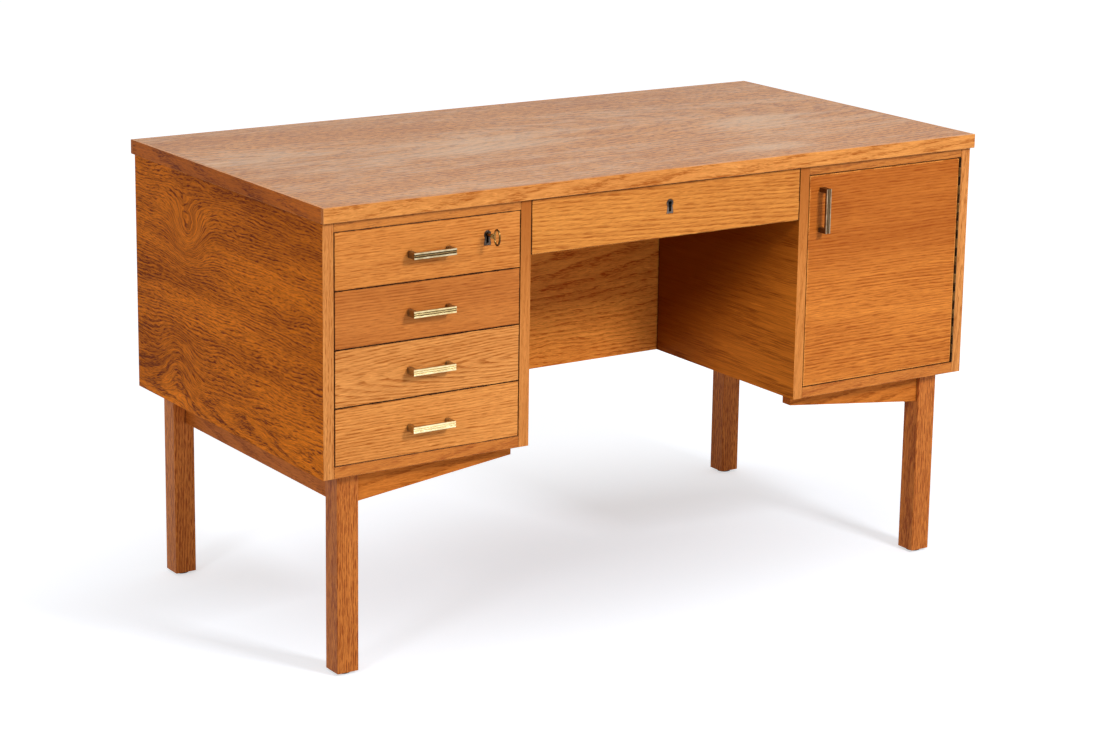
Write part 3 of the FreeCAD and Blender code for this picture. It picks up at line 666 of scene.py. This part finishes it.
# Drawer fronts
# Fronts sawn from oak veneered boards, grain level, their narrow sides dark with painted shade of
# the gaps between them. The upper two are plain with a fine fleck; the third, from the middle of a
# log, shows slanting arches.
# The dark of the fronts' narrow sides: painted shade of the gaps between them.
painted_edge_shade = (104, 48, 22)
drawer_fronts = {
    "drawer_1": (((239, 155, 74), (174, 90, 26)), {"Heart Depth": 0.35, "Waver": 0.014}),
    "drawer_2": (
        ((222, 136, 62), (154, 74, 20)),
        {"Heart Depth": 0.3, "Waver": 0.014, "Streaks": 0.5, "Dashes": 0.45},
    ),
    "drawer_3": (
        ((253, 172, 92), (174, 94, 30)),
        {
            "Heart Across": 0.458, "Heart Depth": 0.2705, "Heart Slope": -0.152,
            "Ring Width": 0.004, "Rings": 0.28,
        },
    ),
    "drawer_4": (
        ((252, 168, 86), (176, 94, 28)),
        {"Heart Depth": 0.36, "Heart Slope": 0.08, "Waver": 0.016, "Rings": 0.22},
    ),
    "middle_drawer": (
        ((239, 158, 72), (170, 90, 26)),
        {"Heart Across": 0.5, "Heart Depth": 0.12, "Heart Slope": -0.08, "Waver": 0.018},
    ),
}
# The fronts' narrow sides and corners are darkened: painted shade of the gaps, with some staining.
front_finish_with_shade = {"edge": painted_edge_shade, "stretch": 1.6, "specular": 0.1, "stain_and_shade": 2.6}
for drawer, (tones, figure) in drawer_fronts.items():
    pierced = drawer in ("drawer_1", "middle_drawer")
    figure = {"Heart Across": 0.2, **figure}
    front_oak = oak(drawer + " front oak", "XZY", tones, figure, **front_finish_with_shade)
    finish(drawer + "_front", front_oak, easing=0 if pierced else corner_easing)

# Drawer boxes and bottoms
# Pale hardwood sides with a row of tails let into the front, a back between them, and a thin
# plywood bottom slid into a groove from behind.
box_tones = ((228, 192, 140), (192, 146, 94))
ply_tones = ((218, 176, 122), (182, 134, 84))
ply_figure = {"Ring Width": 0.014, "Waver": 0.08, "Dashes": 0.2}
box_wood = oak("drawer side wood", "YZX", box_tones, beech_figure)
ply = oak("bottom plywood", "XYZ", ply_tones, ply_figure)
for drawer in drawer_fronts:
    finish(drawer + "_box", box_wood, easing=0)
    finish(drawer + "_bottom", ply, easing=0)

# Handles
# Square bridge handles of drawn brass with two grooves along the face, dark with old polish,
# each held by two machine screws from inside. Hands keep the face pale; away from the face the
# brass takes a darker tone.
handle_tones = (
    (((206, 192, 158), (172, 152, 112)), ((118, 94, 60), (44, 32, 18))),
    (((232, 214, 164), (200, 178, 124)), ((182, 158, 108), (84, 64, 34))),
    (((236, 218, 170), (216, 194, 142)), ((224, 204, 152), (176, 146, 92))),
    (((240, 226, 180), (222, 202, 150)), ((232, 216, 166), (200, 174, 122))),
)
door_handle_tones = ((176, 150, 120), (128, 102, 74))
door_groove_tones = ((126, 100, 72), (56, 38, 24))
screw_tones = ((168, 164, 154), (96, 86, 74))
metal_rub_lift = 30
metal_reach = 0.0004
metal_easing = 0.0002
brass_roughness = 0.28
tarnish_depth = 0.00005
cloud_dullness = 0.16
brush_dullness = 0.08
post_shade = 0.78
band_half_width = 0.0022
band_fade = 0.0008
face_depth = 0.0012
face_fade = 0.0004
groove_lip = 0.0002
groove_fade = 0.0003
post_inset = 0.0035
machine_screw = (0.0035, 0.0018)
slot_share = 0.14
slot_depth_share = 0.6
slot_turn = 1.1


def metal(name, tones, roughness, grooves=None, edge_wear_and_light_amount=0.7):
    """Old metal: cloudy tarnish, bright rubbed corners, and dirt in the grooves of a handle.

    Grooves gives the axis across the face, the middle of the face and its place in depth, then
    the tones of the band between the grooves and of the dirt in them.
    """
    material, tree, shader = start_material(name, metallic=1.0)
    place = surface(tree)[0]
    bright, dull = tones
    clouds = fade(tree, noise(tree, place, along=80.0, detail=4.0, roughness=0.6), low=0.36, high=0.7)
    colour = blend(tree, clouds, tone(bright), tone(dull))
    rubbed = [min(255, value + metal_rub_lift) for value in bright]
    colour = wear(tree, place, colour, rubbed, metal_reach, edge_wear_and_light_amount)
    if grooves:
        axis, middle, face, (band_tone, dirt_tone) = grooves
        parts = split_axes(tree, place)
        off_middle = maths(tree, "ABSOLUTE", maths(tree, "SUBTRACT", parts[axis], middle))
        band = other_share(tree, fade(tree, off_middle, band_half_width, band_half_width + band_fade))
        face_end = face + face_depth
        on_face = other_share(tree, fade(tree, parts["Y"], face_end, face_end + face_fade))
        groove_start = face + groove_lip
        in_groove = fade(tree, parts["Y"], groove_start, groove_start + groove_fade)
        sunk = times(tree, on_face, in_groove)
        # Away from the face the brass takes a darker copy of its dull tone.
        colour = blend(tree, on_face, tone([value * post_shade for value in dull]), colour)
        colour = blend(tree, times(tree, band, on_face), colour, tone(band_tone))
        colour = blend(tree, times(tree, band, sunk), colour, tone(dirt_tone))
    cloudy = add_share(tree, clouds, cloud_dullness, roughness)
    brushed = add_share(tree, noise(tree, place, along=900.0), brush_dullness, cloudy)
    feed_shader(tree, shader, colour, brushed, clouds, relief=0.1, depth=tarnish_depth)
    return material


scene = bpy.context.scene


def add_piece(name, mesh, body, material, smooth_angle=40):
    """Makes a piece of a bmesh, gives it its finish and lets it ride on its body."""
    data = bpy.data.meshes.new(name)
    mesh.to_mesh(data)
    mesh.free()
    data.shade_smooth()
    data.set_sharp_from_angle(angle=math.radians(smooth_angle))
    piece = bpy.data.objects.new(name, data)
    scene.collection.objects.link(piece)
    data.materials.append(material)
    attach(piece, body)
    return piece


def make_screw_head(radius, rise):
    """A flat slotted head that stands on the plane z = 0."""
    head = bmesh.new()
    bmesh.ops.create_circle(head, cap_ends=True, segments=20, radius=radius)
    slot_half = radius * slot_share
    for side in (-slot_half, slot_half):
        parts = head.verts[:] + head.edges[:] + head.faces[:]
        bmesh.ops.bisect_plane(head, geom=parts, plane_co=(side, 0, 0), plane_no=(1, 0, 0))
    raised = bmesh.ops.extrude_face_region(head, geom=head.faces[:])
    top_faces = [item for item in raised["geom"] if isinstance(item, bmesh.types.BMFace)]
    top_verts = [item for item in raised["geom"] if isinstance(item, bmesh.types.BMVert)]
    bmesh.ops.translate(head, verts=top_verts, vec=(0, 0, rise))
    trench = [face for face in top_faces if abs(face.calc_center_median().x) < slot_half]
    sunk = bmesh.ops.extrude_face_region(head, geom=trench)
    bmesh.ops.delete(head, geom=trench, context="FACES_ONLY")
    sunk_verts = [item for item in sunk["geom"] if isinstance(item, bmesh.types.BMVert)]
    bmesh.ops.translate(head, verts=sunk_verts, vec=(0, 0, -rise * slot_depth_share))
    bmesh.ops.recalc_face_normals(head, faces=head.faces)
    return head


screw_steel = metal("screw steel", screw_tones, roughness=0.3)


def add_screws(name, body, places, outward, size):
    """One piece with a screw head at each place, its top looking outward. Size is radius and rise."""
    head = make_screw_head(*size)
    mould = bpy.data.meshes.new(name + "_head")
    head.to_mesh(mould)
    head.free()
    turn = Vector(outward).to_track_quat("Z", "Y").to_matrix().to_4x4()
    screws = bmesh.new()
    for number, place in enumerate(places):
        before = len(screws.verts)
        screws.from_mesh(mould)
        screws.verts.ensure_lookup_table()
        own = screws.verts[before:]
        spin = Matrix.Rotation(slot_turn * number, 4, "Z")
        bmesh.ops.transform(screws, matrix=Matrix.Translation(place) @ turn @ spin, verts=own)
    bpy.data.meshes.remove(mould)
    add_piece(name, screws, body, screw_steel, smooth_angle=30)


def two_places(node, axis, inset, level_axis, level):
    """Two places near the ends of a node along one axis, at a level of another."""
    low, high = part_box(node)
    places = []
    for end in (getattr(low, axis) + inset, getattr(high, axis) - inset):
        place = (low + high) / 2
        setattr(place, axis, end)
        setattr(place, level_axis, level)
        places.append(place)
    return places


for number, (tones, groove_tones) in enumerate(handle_tones, 1):
    handle = f"drawer_{number}_handle"
    low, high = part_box(handle)
    grooves = ("Z", (low.z + high.z) / 2, low.y, groove_tones)
    brass = metal(f"drawer {number} handle brass", tones, brass_roughness, grooves, edge_wear_and_light_amount=0.3)
    finish(handle, brass, metal_easing)
    places = two_places(handle, "x", post_inset, "y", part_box(f"drawer_{number}_front")[1].y)
    add_screws(handle + "_screws", f"drawer_{number}", places, (0, 1, 0), machine_screw)
places = two_places("door_handle", "z", post_inset, "y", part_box("door_panel")[1].y)
add_screws("door_handle_screws", "door", places, (0, 1, 0), machine_screw)
low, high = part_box("door_handle")
grooves = ("X", (low.x + high.x) / 2, low.y, door_groove_tones)
brass = metal("door handle brass", door_handle_tones, brass_roughness, grooves, edge_wear_and_light_amount=0.3)
finish("door_handle", brass, metal_easing)

# Screws of the runners and nails of the bottoms
# Three countersunk steel screws hold each runner, a little proud of the wax, and four small
# nails hold each bottom up against the back of its drawer.
runner_screw = (0.0028, 0.00012)
runner_end_margin = 0.035
box_side_play = 0.001
runner_thickness = 0.008
nail = (0.0013, 0.0003)
nail_count = 4
nail_setback = 0.012
nail_margin = 0.03
runner_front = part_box("drawer_runners")[0].y
places_by_way = {1: [], -1: []}
for drawer in drawer_fronts:
    low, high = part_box(drawer + "_box")
    ends = (runner_front + runner_end_margin, high.y - runner_end_margin)
    for way, wall in ((1, low.x - box_side_play), (-1, high.x + box_side_play)):
        for y in (ends[0], sum(ends) / 2, ends[1]):
            places_by_way[way].append(Vector((wall + way * runner_thickness, y, (low.z + high.z) / 2)))
    low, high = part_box(drawer + "_bottom")
    first_x = low.x + nail_margin
    nail_pitch = (high.x - nail_margin - first_x) / (nail_count - 1)
    nail_y = high.y - nail_setback
    places = [Vector((first_x + nail_pitch * step, nail_y, low.z)) for step in range(nail_count)]
    add_screws(drawer + "_bottom_nails", drawer, places, (0, 0, -1), nail)
for way, side in ((1, "left"), (-1, "right")):
    add_screws("runner_screws_" + side, "desk", places_by_way[way], (way, 0, 0), runner_screw)

# Locks and keyholes
# A steel case let into the back of each locking front, with a bolt that rises into the board
# above, and a nickelled liner round the keyhole that has tarnished to brown.
lock_tones = ((150, 148, 142), (104, 98, 90))
liner_easing = 0.0005
lock_screw = (0.002, 0.0001)
lock_screw_inset = 0.004
lock_steel = metal("lock steel", lock_tones, roughness=0.32)
for lock, body, liner_tones in (
    ("drawer", "drawer_1", ((84, 72, 64), (28, 22, 18))),
    ("middle", "middle_drawer", ((126, 114, 106), (56, 46, 40))),
):
    case = lock + "_lock_case"
    finish(case, lock_steel, easing=0)
    finish(lock + "_lock_bolt", lock_steel, easing=0)
    liner_nickel = metal(lock + " keyhole liner", liner_tones, roughness=0.22)
    finish(lock + "_escutcheon", liner_nickel, liner_easing)
    places = two_places(case, "x", lock_screw_inset, "z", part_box(case)[1].z)
    add_screws(lock + "_lock_screws", body, places, (0, 0, 1), lock_screw)

# Key
# A barrel key of cast brass, left in the lock of the top drawer: an oval bow worn smooth, a
# double collar, and a bored shaft with its bit turned down inside the lock.
key_tones = ((146, 112, 62), (72, 48, 20))
bow_wire = 0.00145
bow_half_length = 0.0085
shaft_radius = 0.0025
shaft_bevel = 0.0004
bore_radius = 0.0013
bore_depth = 0.012
neck_tip_radius = 0.0016
neck_tip_length = 0.0008
neck_low_radius = 0.0022
neck_high_radius = 0.0023
collar_start = 0.0028
collar_length = 0.0026
collar_radius = 0.0039
collar_lip = 0.0004
collar_waist_radius = 0.0029
collar_shoulder = 0.0002
collar_rise = 0.0006
collar_fall = 0.0008
bit_length = 0.006
bit_thickness = 0.002
bit_drop = 0.0078
bit_bevel = 0.0003
circle_handle_share = 0.5523


def turn_profile(mesh, profile, origin, axis, steps):
    """Turns a profile of (distance along the axis, radius) points into a closed body."""
    axis = Vector(axis)
    side = axis.orthogonal().normalized()
    rim = [mesh.verts.new(Vector(origin) + axis * along + side * radius) for along, radius in profile]
    edges = [mesh.edges.new(pair) for pair in zip(rim, rim[1:])]
    full_turn = {"angle": 2 * math.pi, "steps": steps, "use_merge": True, "use_duplicate": False}
    bmesh.ops.spin(mesh, geom=rim + edges, cent=origin, axis=axis, **full_turn)
    bmesh.ops.remove_doubles(mesh, verts=mesh.verts, dist=merge_distance)


def add_block(mesh, size, centre):
    """A block with its middle at centre. Returns its corners."""
    block = bmesh.ops.create_cube(mesh, size=1)["verts"]
    bmesh.ops.scale(mesh, verts=block, vec=size)
    bmesh.ops.translate(mesh, verts=block, vec=centre)
    return block


key_low, key_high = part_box("key")
key_x = (key_low.x + key_high.x) / 2
key_z = (key_low.z + key_high.z) / 2
bow_centre_y = key_low.y + bow_half_length
bow_reach = (bow_half_length - bow_wire, (key_high.z - key_low.z) / 2 - bow_wire)
bow_curve = bpy.data.curves.new("bow", "CURVE")
bow_curve.dimensions = "3D"
bow_curve.bevel_depth = bow_wire
bow_curve.bevel_resolution = 4
bow_curve.resolution_u = 12
bow_line = bow_curve.splines.new("BEZIER")
bow_line.bezier_points.add(3)
bow_line.use_cyclic_u = True
for point, (across, up) in zip(bow_line.bezier_points, ((1, 0), (0, 1), (-1, 0), (0, -1))):
    centre = Vector((key_x, bow_centre_y + across * bow_reach[0], key_z + up * bow_reach[1]))
    ahead = Vector((0, -up * bow_reach[0], across * bow_reach[1])) * circle_handle_share
    point.co = centre
    point.handle_left = centre - ahead
    point.handle_right = centre + ahead
bow_object = bpy.data.objects.new("bow", bow_curve)
bow_mesh = bpy.data.meshes.new_from_object(bow_object)
key_mesh = bmesh.new()
key_mesh.from_mesh(bow_mesh)
bpy.data.objects.remove(bow_object)
bpy.data.meshes.remove(bow_mesh)
bpy.data.curves.remove(bow_curve)
shaft_start = key_low.y + 2 * bow_half_length - bow_wire
shaft_length = key_high.y - shaft_start
collar_middle = collar_start + collar_length / 2
collar_end = collar_start + collar_length
key_profile = (
    (0, 0),
    (0, neck_tip_radius),
    (neck_tip_length, neck_low_radius),
    (collar_start - collar_rise, neck_high_radius),
    (collar_start, collar_radius - collar_lip),
    (collar_start + collar_lip, collar_radius),
    (collar_middle - collar_lip, collar_radius - collar_shoulder),
    (collar_middle, collar_waist_radius),
    (collar_middle + collar_lip, collar_radius - collar_shoulder),
    (collar_end - collar_lip, collar_radius),
    (collar_end, collar_radius - collar_lip),
    (collar_end + collar_fall, shaft_radius),
    (shaft_length - shaft_bevel, shaft_radius),
    (shaft_length, shaft_radius - shaft_bevel),
    (shaft_length, bore_radius),
    (shaft_length - bore_depth, bore_radius),
    (shaft_length - bore_depth - bore_radius, 0),
)
turn_profile(key_mesh, key_profile, (key_x, shaft_start, key_z), (0, 1, 0), steps=32)
bit_size = (bit_thickness, bit_length, bit_drop - shaft_radius / 2)
bit_centre = (key_x, key_high.y - bit_length, key_z - (bit_drop + shaft_radius / 2) / 2)
bit = add_block(key_mesh, bit_size, bit_centre)
bit_edges = list({edge for vert in bit for edge in vert.link_edges})
bit_rounding = {"offset": bit_bevel, "segments": 2, "profile": 0.5, "affect": "EDGES", "material": -1}
bmesh.ops.bevel(key_mesh, geom=bit_edges, **bit_rounding)
bmesh.ops.recalc_face_normals(key_mesh, faces=key_mesh.faces)
key_brass = metal("key brass", key_tones, roughness=0.2)
brass_key = add_piece("brass_key", key_mesh, "turning_key", key_brass)
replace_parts(brass_key, "key")

# Cupboard
# The door is one veneered board, grain level; behind it a shelf rests on four steel pins, and
# a magnetic catch holds the door by a small steel plate.
door_tones = ((239, 147, 60), (160, 75, 14))
catch_tones = ((58, 40, 28), (84, 64, 50))
# How far the door's painted highlight reaches in from its corners.
door_highlight_reach = 0.0045
door_figure = {
    "Heart Across": 0.2, "Heart Depth": 0.3, "Ring Width": 0.005, "Waver": 0.03,
    "Patches": 0.38, "Streaks": 0.9,
}
# The door darkens towards its top; its corners take a strong painted highlight where they catch the light,
# and its gaps old polish and painted shade.
door_finish_with_highlight = {"shade": ((0.0, 0.0, 1.0), 0.47, 0.57, 0.5), "stretch": 1.8, "specular": 0.1}
door_finish_with_highlight.update({"reach": door_highlight_reach, "edge_wear_and_light_amount": 2.0, "dirt": 0.25})
finish("door_panel", oak("door oak", "XZY", door_tones, door_figure, **door_finish_with_highlight))
finish("cupboard_shelf", across_oak)
finish("shelf_pins", lock_steel, easing=0)
finish("catch_plate", lock_steel, metal_easing)
finish("door_catch", plastic("catch plastic", catch_tones, roughness=0.3), plastic_easing)
catch_screw = (0.002, 0.0004)
plate_screw = (0.002, 0.0001)
catch_screw_inset = 0.006
places = two_places("door_catch", "z", catch_screw_inset, "x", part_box("door_catch")[1].x)
add_screws("catch_screws", "desk", places, (1, 0, 0), catch_screw)
places = two_places("catch_plate", "z", catch_screw_inset, "y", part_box("catch_plate")[1].y)
add_screws("catch_plate_screws", "door", places, (0, 1, 0), plate_screw)

# Piano hinge
# A rolled hinge of brass as long as the door: one leaf screwed to the side board, the other to
# the edge of the door, knuckles in turn on one steel pin. Its dark brown is tarnish, and partly
# painted shade of the gap it sits in.
# Dark tones: tarnish, and partly painted shade of the hinge's gap.
carcass_leaf_tones = ((52, 35, 18), (24, 15, 8))
door_leaf_tones = ((108, 76, 40), (60, 40, 20))
knuckle_count = 23
knuckle_radius = 0.0022
knuckle_bore = 0.00142
knuckle_gap = 0.00024
knuckle_chamfer = 0.00018
leaf_thickness = 0.001
leaf_notch = 0.0032
leaf_screw = (0.0026, 0.0003)
leaf_screw_count = 6
leaf_screw_setback = 0.0085


def add_hinge_leaf(node, body, inward, first, material):
    """One leaf with its rolled knuckles and screws, in the place of the plain one."""
    low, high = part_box(node)
    face_x = high.x if inward < 0 else low.x
    inner_x = face_x + inward * leaf_thickness
    leaf_x = (face_x + inner_x) / 2
    axis_x = (low.x if inward < 0 else high.x) - inward * knuckle_radius
    axis_y = low.y + knuckle_radius
    plate_low = axis_y + leaf_notch
    leaf = bmesh.new()
    plate_size = (leaf_thickness, high.y - plate_low, high.z - low.z)
    add_block(leaf, plate_size, (leaf_x, (plate_low + high.y) / 2, (low.z + high.z) / 2))
    pitch = (high.z - low.z) / knuckle_count
    length = pitch - knuckle_gap
    tube = (
        (0, knuckle_bore),
        (0, knuckle_radius - knuckle_chamfer),
        (knuckle_chamfer, knuckle_radius),
        (length - knuckle_chamfer, knuckle_radius),
        (length, knuckle_radius - knuckle_chamfer),
        (length, knuckle_bore),
        (0, knuckle_bore),
    )
    for number in range(first, knuckle_count, 2):
        base = low.z + number * pitch + knuckle_gap / 2
        turn_profile(leaf, tube, (axis_x, axis_y, base), (0, 0, 1), steps=20)
        tab_size = (leaf_thickness, leaf_notch + leaf_thickness, length)
        add_block(leaf, tab_size, (leaf_x, axis_y + (leaf_notch + leaf_thickness) / 2, base + length / 2))
    bmesh.ops.recalc_face_normals(leaf, faces=leaf.faces)
    leaf_name = node.replace("hinge_leaf", "rolled_leaf")
    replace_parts(add_piece(leaf_name, leaf, body, material, smooth_angle=50), node)
    step = (high.z - low.z) / leaf_screw_count
    heights = [low.z + step * (number + 0.5) for number in range(leaf_screw_count)]
    places = [Vector((inner_x, axis_y + leaf_screw_setback, height)) for height in heights]
    add_screws(node + "_screws", body, places, (inward, 0, 0), leaf_screw)


carcass_leaf_brass = metal("hinge brass dark", carcass_leaf_tones, roughness=0.37, edge_wear_and_light_amount=0.3)
door_leaf_brass = metal("hinge brass", door_leaf_tones, roughness=0.32, edge_wear_and_light_amount=0.3)
add_hinge_leaf("hinge_leaf_carcass", "desk", inward=-1, first=0, material=carcass_leaf_brass)
add_hinge_leaf("hinge_leaf_door", "door", inward=1, first=1, material=door_leaf_brass)
finish("hinge_pin", lock_steel, easing=0)

# Floor, light and camera
# A white studio: a floor that keeps the soft shadows, a lamp from the front and a weaker one
# from the left, even light all round, and a camera at a standing person's eye height, front left.
floor_size = 30.0
floor_tint = (0.61, 0.66, 0.73, 1.0)
lift_near = 0.39
lift_far = 0.72
lift_ends = 0.7
lift_squash = (0.5, 1.0, 1.0)
sky_light = 0.5
sky_in_gloss = 0.9
white = (1.0, 1.0, 1.0, 1.0)
camera_place = (-2.5484, -3.7762, 1.5447)
camera_azimuth = 33.761
camera_elevation = 13.288
camera_roll = 0.836
focal_length = 93.65
film_width = 36.0
downward_shift = -0.07

floor_mesh = bmesh.new()
bmesh.ops.create_grid(floor_mesh, x_segments=1, y_segments=1, size=floor_size / 2)
floor_data = bpy.data.meshes.new("floor")
floor_mesh.to_mesh(floor_data)
floor_mesh.free()
floor = bpy.data.objects.new("floor", floor_data)
scene.collection.objects.link(floor)
floor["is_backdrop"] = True
floor_paper = bpy.data.materials.new("floor paper")
floor_paper.use_nodes = True
tree = floor_paper.node_tree
tree.nodes.clear()
paper = add_node(tree, "BsdfDiffuse", {"Color": floor_tint})[0]
path = add_node(tree, "LightPath", {})
seen = maths(tree, "MAXIMUM", path["Is Camera Ray"], path["Is Glossy Ray"])
seen = maths(tree, "MAXIMUM", seen, path["Is Transmission Ray"])
from_desk = vector_maths(tree, "MULTIPLY", add_node(tree, "TexCoord", {})["Object"], lift_squash)
outward = fade(tree, vector_maths(tree, "LENGTH", from_desk), 0.0, lift_ends)
glow = add_share(tree, outward, lift_far - lift_near, lift_near)
lift = add_node(tree, "Emission", {"Strength": times(tree, seen, glow)})[0]
both = add_node(tree, "AddShader", {0: paper, 1: lift})[0]
add_node(tree, "OutputMaterial", {"Surface": both})
floor_data.materials.append(floor_paper)

world = bpy.data.worlds.new("white surround")
scene.world = world
world.use_nodes = True
tree = world.node_tree
path = add_node(tree, "LightPath", {})
shown = maths(tree, "MAXIMUM", path["Is Camera Ray"], path["Is Transmission Ray"])
shown = maths(tree, "MAXIMUM", shown, times(tree, path["Is Glossy Ray"], sky_in_gloss))
strength = maths(tree, "MAXIMUM", shown, sky_light)
feed(tree, tree.nodes["Background"], {"Color": white, "Strength": strength})


def add_lamp(name, place, aim_height, size, power):
    """A square soft box that faces the middle of the desk at this height."""
    data = bpy.data.lights.new(name, "AREA")
    data.size = size
    data.energy = power
    lamp = bpy.data.objects.new(name, data)
    lamp.location = place
    sight = Vector((0, 0, aim_height)) - Vector(place)
    lamp.rotation_euler = sight.to_track_quat("-Z", "Y").to_euler()
    scene.collection.objects.link(lamp)


add_lamp("front lamp", place=(0.7, -2.8, 2.2), aim_height=0.4, size=0.6, power=58.0)
add_lamp("left lamp", place=(-3.7, -1.9, 2.1), aim_height=0.3, size=0.7, power=30.0)

camera_data = bpy.data.cameras.new("camera")
camera_data.lens = focal_length
camera_data.sensor_width = film_width
camera_data.shift_y = downward_shift
camera = bpy.data.objects.new("camera", camera_data)
camera.location = camera_place
look = Euler((math.radians(90 - camera_elevation), 0, -math.radians(camera_azimuth))).to_matrix()
camera.rotation_euler = (look @ Matrix.Rotation(math.radians(camera_roll), 3, "Z")).to_euler()
scene.collection.objects.link(camera)
scene.camera = camera
scene.view_settings.view_transform = "Standard"

low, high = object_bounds()
